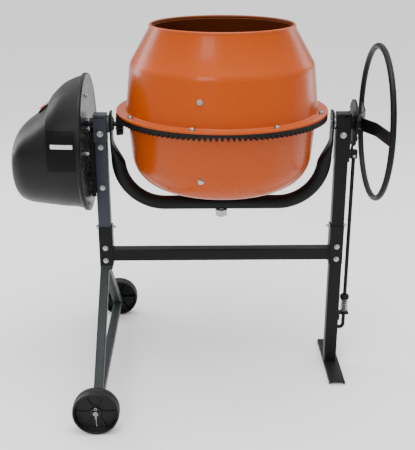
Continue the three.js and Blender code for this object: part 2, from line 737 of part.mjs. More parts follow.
// Flat bar across the wheel: level at the hub, then out to the rim in two bends on each side.
function handwheelStrap() {
  const end = Math.sqrt((wheelRimR - wheelRimTube - gap) ** 2 - (strapWidth / 2) ** 2) - 3 * gap;
  const knee = wheelRimR * 0.38;
  const flat = 26;
  const kneeX = rimX - 20;
  const path = [[strapX, -flat], [kneeX, -knee], [rimX - 3, -end]];
  const mirrored = (points) => points.map(([x, y]) => [x, -y]);
  const shifted = path.map(([x, y]) => [x + strapThickness, y]);
  const outline = [...[...path].reverse(), ...mirrored(path), ...mirrored(shifted).reverse(), ...shifted];
  const strap = prism("xy", outline, -strapWidth / 2, strapWidth / 2);
  return cut(strap, rod("x", trunnionR + gap, strapX - 5, strapX + strapThickness + 5, 20));
}

const rim = new THREE.TorusGeometry(wheelRimR, wheelRimTube, 8, 36).rotateY(Math.PI / 2);
const strapOuterX = strapX + strapThickness;
part(cradle, "lock_disc", lockDisc(), black);
part(cradle, "handwheel_strap", handwheelStrap(), black);
part(cradle, "handwheel_rim", rim.translate(rimX, 0, 0), black);
part(cradle, "handwheel_nut", hexNut("x", 9, 28, strapOuterX + 1 + gap, strapOuterX + 11), zinc);

// ---------------------------------------------------------------- fixed sleeves, drive shaft and pinion

const onTiltAxis = (geometry) => at(geometry, 0, 0, tiltHeight);
const sleeveBore = sleeveR - sleeveWall;
part(mixer, "drive_sleeve", onTiltAxis(ring("x", sleeveBore, sleeveR, sleeveOuterX, sleeveInnerX)), steel);
const trunnionBush = ring("x", trunnionR + gap, sleeveR, postInnerX - 2.4, postOuterX + 4.4);
part(mixer, "trunnion_bush", onTiltAxis(trunnionBush), bronze);
[["outer", sleeveOuterX + 2], ["inner", sleeveInnerX - 2 - shaftBearingWidth]].forEach(([end, x]) => {
  const outerR = sleeveBore * Math.cos(Math.PI / 24) - gap;
  const bearing = ballBearing("x", driveShaftR, outerR, x, shaftBearingWidth);
  part(mixer, `shaft_bearing_${end}`, onTiltAxis(bearing), steel);
});

// Involute tooth outline about the origin, one tooth space pointing along +Y.
function pinionOutline() {
  const base = pinionPitchR * Math.cos(pressureAngle);
  const tipR = pinionPitchR + gearModule;
  const rootR = pinionPitchR - 1.25 * gearModule;
  const involute = (radius) => {
    const angle = Math.acos(Math.min(1, base / radius));
    return Math.tan(angle) - angle;
  };
  const halfTooth = Math.PI / (2 * pinionTeeth) - backlash / (2 * pinionPitchR);
  const flankAngle = (radius) => halfTooth + involute(pinionPitchR) - involute(Math.max(radius, base));
  const radii = [base + 0.2, (base + pinionPitchR) / 2, pinionPitchR, (pinionPitchR + tipR) / 2, tipR];
  const outline = [];
  range(pinionTeeth).forEach((i) => {
    const middle = Math.PI / 2 + ((i + 0.5) * 2 * Math.PI) / pinionTeeth;
    const place = (radius, angle) => outline.push([radius * Math.cos(angle), radius * Math.sin(angle)]);
    place(rootR, middle - flankAngle(rootR));
    radii.forEach((radius) => place(radius, middle - flankAngle(radius)));
    [...radii].reverse().forEach((radius) => place(radius, middle + flankAngle(radius)));
    place(rootR, middle + flankAngle(rootR));
  });
  return outline;
}

// The outline narrows towards the middle of the machine, as the ring's teeth do.
function pinion() {
  const body = tidy(prism("yz", pinionOutline(), pinionOuterX, pinionInnerX));
  const place = body.attributes.position;
  range(place.count).forEach((i) => {
    const share = Math.abs(place.getX(i)) / ringPitchR;
    place.setXYZ(i, place.getX(i), place.getY(i) * share, place.getZ(i) * share);
  });
  return cut(body, rod("x", driveShaftR + gap, pinionOuterX - 2, pinionInnerX + 2, 16));
}

function pulley(radius, bore, hubRadius, web, sides) {
  const [low, high] = [pulleyX, pulleyInnerX];
  const middle = (low + high) / 2;
  return turned("x", [
    [bore, low], [hubRadius, low], [hubRadius, middle - web], [radius - 6, middle - web], [radius - 6, low],
    [radius, low], [radius, high], [radius - 6, high], [radius - 6, middle + web], [hubRadius, middle + web],
    [hubRadius, high], [bore, high], [bore, low],
  ], sides);
}

const shaftEndX = pulleyX - 4;
part(cradle, "drive_shaft", rod("x", driveShaftR, shaftEndX, pinionInnerX + 4, 20), steel);
part(cradle, "drive_pinion", pinion(), castBlack);
part(cradle, "drive_pulley", pulley(drivePulleyR, driveShaftR + gap, 20, 3, 28), aluminium);

// ---------------------------------------------------------------- motor housing

// Round plate with a folded-in edge; the shaft's hole lies above the plate's centre.
function backplate() {
  const edge = housingR + housingRim;
  const face = backplateX;
  const plate = turned("x", [
    [0, face - plateSheet], [edge, face - plateSheet], [edge, face], [edge - 8, face], [edge - 10, face - 1],
    [0, face - 1],
  ], 30);
  const shaftHole = rod("x", 14, face - 6, face + 6, 24);
  return cut(at(plate, 0, 0, housingZ), onTiltAxis(shaftHole));
}

// Stations of the cover from its round rim outwards: distance out, top, bottom, half width and the height
// of the widest line, the heights above the housing's centre.
const coverStations = [
  [6, 204, -204, 204, 0], [38, 193, -198, 203, 0], [70, 177, -196, 200, 0], [99.5, 149, -192, 196, 0],
  [101, 128, -192, 196, 0], [140, 96, -187, 190, -2], [175, 72, -178, 180, -10], [198, 53, -158, 162, -24],
  [209, 34, -134, 140, -38], [213.5, 12, -108, 112, -46],
];

function coverRing([out, top, bottom, half, widest], wall, shrink) {
  return range(coverSides).map((j) => {
    const angle = ((j + 0.5) * 2 * Math.PI) / coverSides;
    const [c, s] = [Math.cos(angle), Math.sin(angle)];
    const height = s > 0 ? top - widest - wall : widest - bottom - wall;
    const power = s > 0 ? 0.82 : 1;
    const y = Math.sign(c) * Math.abs(c) ** power * (half - wall);
    const z = widest + Math.sign(s) * Math.abs(s) ** power * height;
    return new THREE.Vector3(coverFaceX - out + shrink, y, housingZ + z);
  });
}

const glandPlace = new THREE.Vector3(coverFaceX - 118, 0, housingZ - 60);
const glandY = 184;
const panelNormal = new THREE.Vector3(-Math.sin(panelSlope), 0, Math.cos(panelSlope));
const onPanel = (geometry, down, lift) => {
  const [x, z] = [panelTop.x - down * Math.cos(panelSlope), panelTop.y - down * Math.sin(panelSlope)];
  return geometry.rotateY(-panelSlope).translate(x + panelNormal.x * lift, 0, z + panelNormal.z * lift);
};
const switchDown = 27; // panel's upper edge to the switch's middle

function cover() {
  const skin = loft(coverStations.map((station) => coverRing(station, 0, 0)));
  const inside = coverStations.slice(0, -1).map((station) => coverRing(station, coverWall, coverWall));
  const mouth = inside[0].map((point) => new THREE.Vector3(coverFaceX + 4, point.y, point.z));
  const flangeRing = ring("x", housingR - 12, housingR + housingRim, coverFaceX - 8, coverFaceX, 30);
  const flange = at(flangeRing, 0, 0, housingZ);
  const gland = at(rod("y", 11, glandY - 20, glandY + 40, 16), glandPlace.x, 0, glandPlace.z);
  const panelHole = onPanel(box(-22, 22, -17, 17, -30, 30), switchDown, 0);
  return cut(join(skin, flange), loft([mouth, ...inside]), gland, panelHole);
}

const bracketHalf = [84, 112];
function motorBracket() {
  const plate = box(bracketX, bracketX + 5, -bracketHalf[0], bracketHalf[1], motorZ - 58, motorZ + 58);
  const ends = [[-62, -50], [62, -50], [-75, 45], [75, 45]];
  const pillars = ends.map(([y, z]) =>
    at(rod("x", 6, bracketX + 1, backplateX - plateSheet - gap, 12), 0, y, motorZ + z),
  );
  const shaftHole = at(rod("x", 16, bracketX - 3, bracketX + 9, 20), 0, 0, motorZ);
  return cut(join(plate, ...pillars), shaftHole);
}

const motorBackX = motorFaceX - motorLength;
const motorBore = motorShaftR + runGap;
const stator = turned("x", [
  [motorBore, motorBackX], [motorR - 6, motorBackX], [motorR, motorBackX + 8], [motorR, motorFaceX],
  [motorBore, motorFaceX], [motorBore, motorFaceX - 8], [motorR - 18, motorFaceX - 8],
  [motorR - 18, motorBackX + 8], [motorBore, motorBackX + 8], [motorBore, motorBackX],
], 20);
const rotorR = motorR - 18 - 1.5;
const rotor = turned("x", [
  [0, motorBackX + 2], [motorShaftR, motorBackX + 2], [motorShaftR, motorBackX + 11],
  [rotorR, motorBackX + 11], [rotorR, motorFaceX - 11], [motorShaftR, motorFaceX - 11],
  [motorShaftR, pulleyInnerX + 4],
  [0, pulleyInnerX + 4],
], 16);

// Closed loop round both pulleys, standing clear of them by the running gap.
function belt() {
  const reach = tiltHeight - motorZ;
  const lean = Math.asin((drivePulleyR - motorPulleyR) / reach);
  const outline = (extra) => {
    const arc = (centre, radius, from, to, count) =>
      range(count + 1).map((i) => {
        const angle = from + ((to - from) * i) / count;
        const corner = radius / Math.cos((to - from) / count / 2);
        return [corner * Math.cos(angle), centre + corner * Math.sin(angle)];
      });
    return [
      ...arc(tiltHeight, drivePulleyR + extra, -lean, Math.PI + lean, 18),
      ...arc(motorZ, motorPulleyR + extra, Math.PI + lean, 2 * Math.PI - lean, 8),
    ];
  };
  const middle = (pulleyX + pulleyInnerX) / 2;
  const outer = prism("yz", outline(runGap + beltThickness), middle - beltWidth / 2, middle + beltWidth / 2);
  return cut(outer, prism("yz", outline(runGap), middle - beltWidth, middle + beltWidth));
}

const capacitorY = 90;
const capacitorZ = motorZ + 20;
const capacitor = turned("x", [
  [0, motorFaceX - 70], [14, motorFaceX - 70], [18, motorFaceX - 66], [18, motorFaceX - 2],
  [16, motorFaceX], [0, motorFaceX],
], 20);

function housingBracket() {
  const [near, far] = [-postOuterX - gap, backplateX + gap];
  const outline = [
    [near, -postSize / 2], [far, -postSize / 2], [far, postSize / 2], [near, postSize / 2],
    [near, postSize / 2 - sheet], [far + sheet, postSize / 2 - sheet], [far + sheet, sheet - postSize / 2],
    [near, sheet - postSize / 2],
  ];
  return prism("xy", outline, tiltHeight - 228, tiltHeight - sleeveR - 3);
}

part(mixer, "backplate", backplate(), slate);
part(mixer, "housing_bracket", housingBracket(), black);
part(mixer, "motor_cover", cover(), plastic);
part(mixer, "motor_bracket", motorBracket(), black);
part(mixer, "motor_stator", at(stator, 0, 0, motorZ), aluminium);
part(mixer, "motor_rotor", at(rotor, 0, 0, motorZ), steel);
const motorPulley = pulley(motorPulleyR, motorShaftR + gap, motorPulleyR - 7, 4, 16);
part(mixer, "motor_pulley", at(motorPulley, 0, 0, motorZ), aluminium);
part(mixer, "drive_belt", belt(), rubber);
part(mixer, "run_capacitor", at(capacitor, 0, capacitorY, capacitorZ), pale);

// ---------------------------------------------------------------- switch and cable gland

// Box let into the panel, with a raised rim round two button wells.
function switchBox() {
  const body = join(box(-21.5, 21.5, -16.5, 16.5, -22, 1), box(-26, 26, -21, 21, 0.5, 5));
  const wells = [-10, 10].map((x) => box(x - 8.5, x + 8.5, -11.5, 11.5, -12, 10));
  return onPanel(cut(body, ...wells), switchDown, 0.6);
}

const button = (down) => onPanel(box(-8, 8, -11, 11, -6, 9), switchDown + down, 0.6);

// Moulded gland on the cover's far side, a hollow stub with a nut inside the wall.
const gland = turned("y", [
  [5, glandY - 17], [14, glandY - 17], [14, glandY - 12], [10.5, glandY - 12], [10.5, glandY + 6.5],
  [15, glandY + 6.5], [15, glandY + 10], [9, glandY + 15], [5, glandY + 15], [5, glandY - 17],
], 12);

part(mixer, "switch_box", switchBox(), plastic);
part(mixer, "start_button", button(-10), pale);
part(mixer, "stop_button", button(10), red);
part(mixer, "cable_gland", at(gland, glandPlace.x, 0, glandPlace.z), rubber);

// ---------------------------------------------------------------- drum lock

// Round bar along a path in the XZ plane.
function roundBar(path, radius, sides) {
  return loft(path.map(([x, z], i) => {
    const [before, after] = [path[Math.max(0, i - 1)], path[Math.min(path.length - 1, i + 1)]];
    const length = Math.hypot(after[0] - before[0], after[1] - before[1]);
    const [nx, nz] = [-(after[1] - before[1]) / length, (after[0] - before[0]) / length];
    return range(sides).map((j) => {
      const angle = (j * 2 * Math.PI) / sides;
      const across = radius * Math.cos(angle);
      return new THREE.Vector3(x + nx * across, radius * Math.sin(angle), z + nz * across);
    });
  }));
}

// The rod's lower end turns in towards the post.
function lockRod() {
  const bend = 12;
  const turn = range(5).map((i) => {
    const angle = (i * Math.PI) / 8;
    return [rodX - bend + bend * Math.cos(angle), rodFootZ + bend - bend * Math.sin(angle)];
  });
  return roundBar([[rodX, discBottomZ - 24], ...turn, [postOuterX + 1.2, rodFootZ]], rodR, 12);
}

// Fork that straddles the disc; its cross bar is the pawl that enters a notch.
function pawl() {
  const low = discBottomZ - 40;
  const [left, right] = [discX - 2 - gap, rodX + 10];
  const tip = discBottomZ - 1.5;
  const block = box(left, right, -9, 9, low, tip - 12);
  const tongue = box(discX, discX + discThickness, -notchWidth / 2 + 1, notchWidth / 2 - 1, tip - 14, tip);
  const socket = at(rod("z", rodR + gap, low - 1, discBottomZ - 24 + gap, 14), rodX, 0, 0);
  const pinHole = at(rod("y", 2.5 + gap, -12, 12, 10), rodX, 0, low + 9);
  return cut(join(block, tongue), socket, pinHole);
}

const pawlPinZ = discBottomZ - 40 + 9;
const pawlPin = join(rod("y", 2.5, -13, 13, 10), rod("y", 4.5, -13, -10.5, 10));
const drilledRod = cut(lockRod(), at(rod("y", 2.5 + gap, -10, 10, 10), rodX, 0, pawlPinZ));

// Cup pressed by the foot; the spring stands between it and the guide plate.
const cup = turned("z", [
  [rodR + gap, cupZ - 8], [9, cupZ - 8], [9, cupZ], [15, cupZ], [15, cupZ + 9], [12, cupZ + 14],
  [rodR + gap, cupZ + 14], [rodR + gap, cupZ - 8],
], 20);

function guidePlate() {
  const plate = box(postOuterX + gap, rodX + 15, -14, 14, guideZ, guideZ + 4);
  const ear = box(postOuterX + gap, postOuterX + gap + 4, -14, 14, guideZ - 20, guideZ + 1);
  return cut(join(plate, ear), at(rod("z", rodR + runGap, guideZ - 5, guideZ + 9, 16), rodX, 0, 0));
}

class SpringLine extends THREE.Curve {
  getPoint(t) {
    const angle = t * 2 * Math.PI * 4.5;
    const radius = 11.2;
    const z = guideZ + 6 + t * (cupZ - guideZ - 8);
    return new THREE.Vector3(radius * Math.cos(angle), radius * Math.sin(angle), z);
  }
}

const springWire = new THREE.Shape(range(5).map((i) => {
  const angle = (i * 2 * Math.PI) / 5;
  return new THREE.Vector2(1.6 * Math.cos(angle), 1.6 * Math.sin(angle));
}));
const spring = new THREE.ExtrudeGeometry(springWire, { steps: 45, extrudePath: new SpringLine() });

part(mixer, "lock_rod", drilledRod, black);
part(mixer, "lock_pawl", pawl(), black);
part(mixer, "pawl_pin", at(pawlPin, rodX, 0, pawlPinZ), zinc);
part(mixer, "foot_cup", at(cup, rodX, 0, 0), black);
part(mixer, "rod_guide", guidePlate(), black);
part(mixer, "lock_spring", at(spring, rodX, 0, 0), steel);

// ---------------------------------------------------------------- centring

// The cover's far end and the handwheel's rim are the machine's two ends along X.
const leftEnd = coverFaceX - coverStations.at(-1)[0];
const rightEnd = rimX + wheelRimTube;
mixer.position.x = -(leftEnd + rightEnd) / 2;

export default mixer;
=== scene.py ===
# %% [markdown]
# # A concrete mixer, finished in Blender
#
# The mixer is a round drum that hangs in a bail between two posts. A motor under a moulded cover turns the
# drum by a ring gear, and a handwheel tips it. The working model of its parts already exists: it was made
# as plain solids that can move. This lesson loads that model as a frame that is never moved, and gives
# every part its fine surface: rounded edges, turned and pressed sheet, castings, paint, zinc and moulded
# plastic.

import math

import bmesh
import bpy
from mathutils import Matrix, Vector
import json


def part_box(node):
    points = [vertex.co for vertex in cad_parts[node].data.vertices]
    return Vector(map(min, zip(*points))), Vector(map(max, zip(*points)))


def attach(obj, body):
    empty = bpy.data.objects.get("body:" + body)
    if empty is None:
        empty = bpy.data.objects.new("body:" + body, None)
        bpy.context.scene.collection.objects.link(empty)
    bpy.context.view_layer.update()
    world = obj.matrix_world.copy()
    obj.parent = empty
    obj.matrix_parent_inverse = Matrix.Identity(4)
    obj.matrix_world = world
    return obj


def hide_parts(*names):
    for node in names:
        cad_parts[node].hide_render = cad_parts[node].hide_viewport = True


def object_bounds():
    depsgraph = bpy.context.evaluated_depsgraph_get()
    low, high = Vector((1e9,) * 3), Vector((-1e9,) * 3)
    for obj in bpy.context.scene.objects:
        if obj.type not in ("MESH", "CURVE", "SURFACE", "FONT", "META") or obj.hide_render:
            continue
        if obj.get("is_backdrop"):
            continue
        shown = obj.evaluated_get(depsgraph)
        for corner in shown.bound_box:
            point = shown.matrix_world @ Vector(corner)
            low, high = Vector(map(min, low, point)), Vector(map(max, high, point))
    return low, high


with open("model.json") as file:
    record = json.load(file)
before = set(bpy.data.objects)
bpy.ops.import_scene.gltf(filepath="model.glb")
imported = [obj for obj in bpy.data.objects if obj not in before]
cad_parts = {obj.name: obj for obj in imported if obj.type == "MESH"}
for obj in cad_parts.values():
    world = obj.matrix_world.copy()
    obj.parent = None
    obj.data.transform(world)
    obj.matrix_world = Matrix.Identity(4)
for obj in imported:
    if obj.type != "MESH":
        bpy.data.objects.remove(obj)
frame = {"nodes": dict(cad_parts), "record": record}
cad_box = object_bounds()
mm = 0.001
print("box:", [round(v, 4) for corner in cad_box for v in corner])

# %% [markdown]
# ## Places
#
# Nothing is placed by eye. Each place is read from the frame: the low and high corners of a part give its
# middle and its size, and every later cell works from those.

# %% Places read from the frame
def low_high(node):
    low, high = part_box(node)
    return Vector(low), Vector(high)


def middle(node):
    low, high = low_high(node)
    return (low + high) / 2


def in_scene(name, data):
    item = bpy.data.objects.new(name, data)
    bpy.context.collection.objects.link(item)
    return item


drum_low, drum_high = low_high("drum_upper_shell")
bowl_low, bowl_high = low_high("drum_bowl")
drum_x = middle("drum_upper_shell").x
tilt_z = middle("drive_shaft").z
tilt_axis = Vector((drum_x, 0, tilt_z))
flange_r = (drum_high.x - drum_low.x) / 2
print(
    "drum axis at x", round(drum_x, 4), "tilt axis at z", round(tilt_z, 4), "flange radius",
    round(flange_r, 4),
)

# %% [markdown]
# ## The camera, the floor and the light
#
# The camera stands in front of the mixer above the drum and looks down a little, with a short telephoto
# lens, so that the posts stay nearly upright. The floor is a wide plain sheet in a pale grey. Two tall soft
# boxes stand behind it to the left and right, because glossy paint shows its roundness by the pale strips
# that they leave on its edges. One in front opens the shadows, and a large one hangs above for the tops.

# %% Camera
camera_data = bpy.data.cameras.new("camera")
camera_data.lens = 65.1
camera = in_scene("camera", camera_data)
aside, back, above = -0.0766, -2.441, 0.588
look_down, tilted, turned_left = 0.3606, 0.0011, -0.0137
camera.location = (drum_x + aside, back, tilt_z + above)
camera.rotation_euler = (math.pi / 2 - look_down, tilted, turned_left)
bpy.context.scene.camera = camera
print("camera at", [round(v, 3) for v in camera.location])

# %% Floor
floor_mesh = bpy.data.meshes.new("floor")
floor_size = 30
corners = [(-1, -1), (1, -1), (1, 1), (-1, 1)]
floor_mesh.from_pydata([(x * floor_size, y * floor_size, 0) for x, y in corners], [], [(0, 1, 2, 3)])
floor = in_scene("floor", floor_mesh)
floor_paint = bpy.data.materials.new("floor")
floor_paint.use_nodes = True
floor_shader = floor_paint.node_tree.nodes["Principled BSDF"]
floor_shader.inputs["Base Color"].default_value = (0.93, 0.93, 0.93, 1)
floor_shader.inputs["Roughness"].default_value = 0.9
floor_mesh.materials.append(floor_paint)
floor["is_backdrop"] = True
print("floor", 2 * floor_size, "metres across")

# %% Light
def soft_box(name, place, aim, size, power):
    light = bpy.data.lights.new(name, "AREA")
    light.shape = "RECTANGLE"
    light.size, light.size_y = size
    light.energy = power
    lamp = in_scene(name, light)
    lamp.location = place
    lamp.rotation_euler = (Vector((0, 0, aim)) - Vector(place)).to_track_quat("-Z", "Y").to_euler()


soft_box("left box", (-2.5, 1.7, 1.5), 0.8, (0.9, 2.4), 36)
soft_box("right box", (2.6, 1.9, 1.5), 0.8, (0.9, 2.4), 18)
soft_box("front box", (-1.3, -3.4, 2.6), 0.7, (1.2, 1.2), 34)
soft_box("top box", (0.2, -0.6, 3.6), 0.7, (2.6, 2.2), 95)
world = bpy.data.worlds.new("studio")
world.use_nodes = True
bpy.context.scene.world = world
sky = world.node_tree.nodes["Background"]
sky.inputs["Color"].default_value = (1, 1, 1, 1)
direction = world.node_tree.nodes.new("ShaderNodeTexCoord")
height = world.node_tree.nodes.new("ShaderNodeSeparateXYZ")
ramp = world.node_tree.nodes.new("ShaderNodeMapRange")
for label, value in (("From Min", 0.0), ("From Max", 0.9), ("To Min", 0.3), ("To Max", 1.7)):
    ramp.inputs[label].default_value = value
world.node_tree.links.new(direction.outputs["Generated"], height.inputs[0])
world.node_tree.links.new(height.outputs["Z"], ramp.inputs["Value"])
world.node_tree.links.new(ramp.outputs["Result"], sky.inputs["Strength"])
print("four soft boxes and a room that is brighter above")

# %% [markdown]
# ## Making meshes
#
# Most of the mixer is turned, pressed or bent, so a few helpers make nearly all of it. One rounds the
# corners of an outline, because no pressed or cast edge is sharp. One turns a profile round an axis, one
# carries an outline along an axis, and one sweeps a round bar along a path. Each adds to a bmesh, so that a
# piece can be built from several of them before it becomes an object.

# %% Rounded corners
def rounded(points, radius, steps=4, closed=True):
    """The outline with an arc at each corner. A point may carry its own radius as a third number."""
    result = []
    for i, corner in enumerate(points):
        here = Vector(corner[:2])
        wanted = corner[2] if len(corner) > 2 else radius
        before = Vector(points[i - 1][:2]) - here
        after = Vector(points[(i + 1) % len(points)][:2]) - here
        end = not closed and i in (0, len(points) - 1)
        tiny = min(before.length, after.length) < 1e-9
        if end or wanted == 0 or tiny or before.angle(after) > math.pi - 0.02:
            result.append(tuple(here))
            continue
        half = before.angle(after) / 2
        reach = min(wanted / math.tan(half), 0.49 * before.length, 0.49 * after.length)
        before.normalize()
        after.normalize()
        centre = here + (before + after).normalized() * (reach / math.cos(half))
        first, last = here + before * reach - centre, here + after * reach - centre
        start = math.atan2(first.y, first.x)
        turn = math.atan2(first.x * last.y - first.y * last.x, first.dot(last))
        for k in range(steps + 1):
            angle = start + turn * k / steps
            result.append(
                (centre.x + first.length * math.cos(angle), centre.y + first.length * math.sin(angle))
            )
    return result


def rectangle(u_from, v_from, u_to, v_to):
    return [(u_from, v_from), (u_to, v_from), (u_to, v_to), (u_from, v_to)]


print("a square with rounded corners has", len(rounded(rectangle(0, 0, 1, 1), 0.1)), "points")

# %% Turned, extruded and swept shapes
TURNS = {
    "X": lambda u, v, h: Vector((h, u, v)),
    "Y": lambda u, v, h: Vector((v, h, u)),
    "Z": lambda u, v, h: Vector((u, v, h)),
}


def joined(bm, rings, closed=False):
    """Adds the faces between rings that have the same number of corners."""
    for a, b in list(zip(rings, rings[1:])) + ([(rings[-1], rings[0])] if closed else []):
        for k in range(len(a)):
            n = (k + 1) % len(a)
            bm.faces.new([a[k], a[n], b[n], b[k]])


def turned(bm, profile, centre=(0, 0, 0), axis="Z", steps=96):
    """Adds a turned body. A profile of (radius, distance along) closes on itself or on the axis."""
    centre = Vector(centre)
    rings = []
    for radius, height in profile:
        angles = [2 * math.pi * k / steps for k in range(steps)] if radius > 1e-7 else [0]
        flat = [(radius * math.cos(a), radius * math.sin(a)) for a in angles]
        rings.append([bm.verts.new(centre + TURNS[axis](u, v, height)) for u, v in flat])
    on_axis = len(rings[0]) == 1 and len(rings[-1]) == 1
    pairs = list(zip(rings, rings[1:])) + ([] if on_axis else [(rings[-1], rings[0])])
    for a, b in pairs:
        for k in range(steps):
            n = (k + 1) % steps
            around = [a[k % len(a)], a[n % len(a)], b[n % len(b)], b[k % len(b)]]
            face = list(dict.fromkeys(around))
            if len(face) > 2:
                bm.faces.new(face)


def extruded(bm, outline, start, end, centre=(0, 0, 0), axis="Z"):
    """Adds an outline carried along an axis, closed by a flat face at each end."""
    centre = Vector(centre)
    ends = [[bm.verts.new(centre + TURNS[axis](u, v, h)) for u, v in outline] for h in (start, end)]
    joined(bm, ends)
    bm.faces.new(ends[0][::-1])
    bm.faces.new(ends[1])


def swept(bm, path, radius, sides=16, closed=False):
    """Adds a round bar along a path of points."""
    path = [Vector(point) for point in path]
    count = len(path)
    side = None
    rings = []
    for i, point in enumerate(path):
        after = path[(i + 1) % count] if closed or i + 1 < count else point
        before = path[i - 1] if closed or i else point
        along = (after - before).normalized()
        side = (side or along.orthogonal()) - along * (side or along.orthogonal()).dot(along)
        side.normalize()
        other = along.cross(side)
        angles = [2 * math.pi * k / sides for k in range(sides)]
        offsets = [side * math.cos(a) + other * math.sin(a) for a in angles]
        rings.append([bm.verts.new(point + offset * radius) for offset in offsets])
    joined(bm, rings, closed)
    if not closed:
        bm.faces.new(rings[0][::-1])
        bm.faces.new(rings[-1])


def smooth_path(points, steps=6):
    """A Catmull-Rom curve through the points."""
    points = [Vector(point) for point in points]
    ends = [2 * points[0] - points[1], *points, 2 * points[-1] - points[-2]]
    result = []
    for a, b, c, d in zip(ends, ends[1:], ends[2:], ends[3:]):
        for k in range(steps):
            t = k / steps
            curve = 2 * b + (c - a) * t + (2 * a - 5 * b + 4 * c - d) * t**2 + (3 * b - a - 3 * c + d) * t**3
            result.append(curve / 2)
    return result + [points[-1]]


print("shapes: turned, extruded, swept")

# %% [markdown]
# ## From a mesh to a piece
#
# A finished piece is an object at the origin whose place is in its mesh. It rides on a body of the frame,
# and where it is the fine version of a plain part, it replaces that part. Flat work gets a Bevel modifier
# with hardened normals, so each edge catches the light as a real folded or sawn edge does.

# %% Pieces
def bevelled(piece, width, segments=2, angle=32):
    bevel = piece.modifiers.new("edges", "BEVEL")
    bevel.width = width
    bevel.segments = segments
    bevel.limit_method = "ANGLE"
    bevel.angle_limit = math.radians(angle)
    bevel.harden_normals = True


def as_piece(bm, name, finish, body, stands_for=(), edge=0, smooth=35, segments=2):
    bmesh.ops.remove_doubles(bm, verts=bm.verts, dist=1e-6)
    bmesh.ops.recalc_face_normals(bm, faces=bm.faces)
    mesh = bpy.data.meshes.new(name)
    bm.to_mesh(mesh)
    bm.free()
    mesh.materials.append(finish)
    piece = in_scene(name, mesh)
    mesh.polygons.foreach_set("use_smooth", [True] * len(mesh.polygons))
    mesh.set_sharp_from_angle(angle=math.radians(smooth))
    if edge:
        bevelled(piece, edge, segments)
    settle(piece, body, stands_for)
    return piece


def settle(piece, body, stands_for=()):
    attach(piece, body)
    if stands_for:
        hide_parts(*stands_for)


print("a plain part keeps its place, and its fine piece takes over what shows")

# %% [markdown]
# ## Wear and texture as node groups
#
# Paint, plastic and bare metal differ in colour and gloss, but all of them gather dust on top, vary a
# little from place to place and carry fine scratches. Those effects are made once, as node groups that put
# out colours and values, and every finish uses them with numbers of its own.

# %% Group helpers
def linear(code):
    """A screen colour such as c4581c, as the linear colour that a shader takes."""
    parts = [int(code[i : i + 2], 16) / 255 for i in (0, 2, 4)]
    return (*[p / 12.92 if p <= 0.04045 else ((p + 0.055) / 1.055) ** 2.4 for p in parts], 1)


def shader_group(name, inputs, outputs):
    group = bpy.data.node_groups.new(name, "ShaderNodeTree")
    kinds = {"value": "NodeSocketFloat", "colour": "NodeSocketColor", "vector": "NodeSocketVector"}
    for label, kind, default in inputs:
        socket = group.interface.new_socket(label, in_out="INPUT", socket_type=kinds[kind])
        if default is not None:
            socket.default_value = default
    for label, kind in outputs:
        group.interface.new_socket(label, in_out="OUTPUT", socket_type=kinds[kind])
    return group, group.nodes.new("NodeGroupInput").outputs, group.nodes.new("NodeGroupOutput").inputs


def maths(tree, operation, a, b=0.5, clamp=False):
    node = tree.nodes.new("ShaderNodeMath")
    node.operation = operation
    node.use_clamp = clamp
    for socket, value in zip(node.inputs, (a, b)):
        if isinstance(value, (int, float)):
            socket.default_value = value
        else:
            tree.links.new(value, socket)
    return node.outputs[0]


def noise(tree, vector, scale, detail=3.0, roughness=0.5):
    node = tree.nodes.new("ShaderNodeTexNoise")
    node.inputs["Detail"].default_value = detail
    node.inputs["Roughness"].default_value = roughness
    tree.links.new(vector, node.inputs["Vector"])
    if isinstance(scale, (int, float)):
        node.inputs["Scale"].default_value = scale
    else:
        tree.links.new(scale, node.inputs["Scale"])
    return node.outputs["Fac"]


def mixed(tree, factor, a, b):
    node = tree.nodes.new("ShaderNodeMix")
    node.data_type = "RGBA"
    for socket, value in zip((node.inputs[0], node.inputs[6], node.inputs[7]), (factor, a, b)):
        if isinstance(value, (int, float, tuple)):
            socket.default_value = value
        else:
            tree.links.new(value, socket)
    return node.outputs[2]


print("orange in linear light:", [round(v, 3) for v in linear("c4581c")])

# %% Colour that varies, with dust on what faces up
settled, given, out = shader_group(
    "settled dust",
    [("Vector", "vector", None), ("Colour", "colour", (0.5, 0.5, 0.5, 1)), ("Variation", "value", 0.1),
     ("Dust", "value", 0.2), ("Dust Colour", "colour", linear("b9b2a6")), ("Roughness", "value", 0.4)],
    [("Colour", "colour"), ("Roughness", "value")],
)
broad = noise(settled, given["Vector"], 7.0, 4.0)
shade = maths(settled, "MULTIPLY_ADD", maths(settled, "SUBTRACT", broad, 0.5), given["Variation"])
settled.nodes[-1].inputs[2].default_value = 1.0
tone = settled.nodes.new("ShaderNodeVectorMath")
tone.operation = "SCALE"
settled.links.new(given["Colour"], tone.inputs[0])
settled.links.new(shade, tone.inputs["Scale"])
facing = settled.nodes.new("ShaderNodeNewGeometry")
split = settled.nodes.new("ShaderNodeSeparateXYZ")
settled.links.new(facing.outputs["Normal"], split.inputs[0])
upward = maths(settled, "MULTIPLY", maths(settled, "SUBTRACT", split.outputs["Z"], 0.55), 2.4, True)
patchy = maths(settled, "MULTIPLY", noise(settled, given["Vector"], 22.0, 6.0, 0.6), upward)
dusty = maths(settled, "MULTIPLY", patchy, given["Dust"], True)
settled.links.new(mixed(settled, dusty, tone.outputs[0], given["Dust Colour"]), out["Colour"])
smear = noise(settled, given["Vector"], 31.0, 5.0, 0.6)
rougher = maths(settled, "MULTIPLY_ADD", maths(settled, "SUBTRACT", smear, 0.5), 0.22)
settled.links.new(given["Roughness"], settled.nodes[-1].inputs[2])
total = maths(settled, "ADD", rougher, maths(settled, "MULTIPLY", dusty, 0.6), True)
settled.links.new(total, out["Roughness"])
print("group:", settled.name)

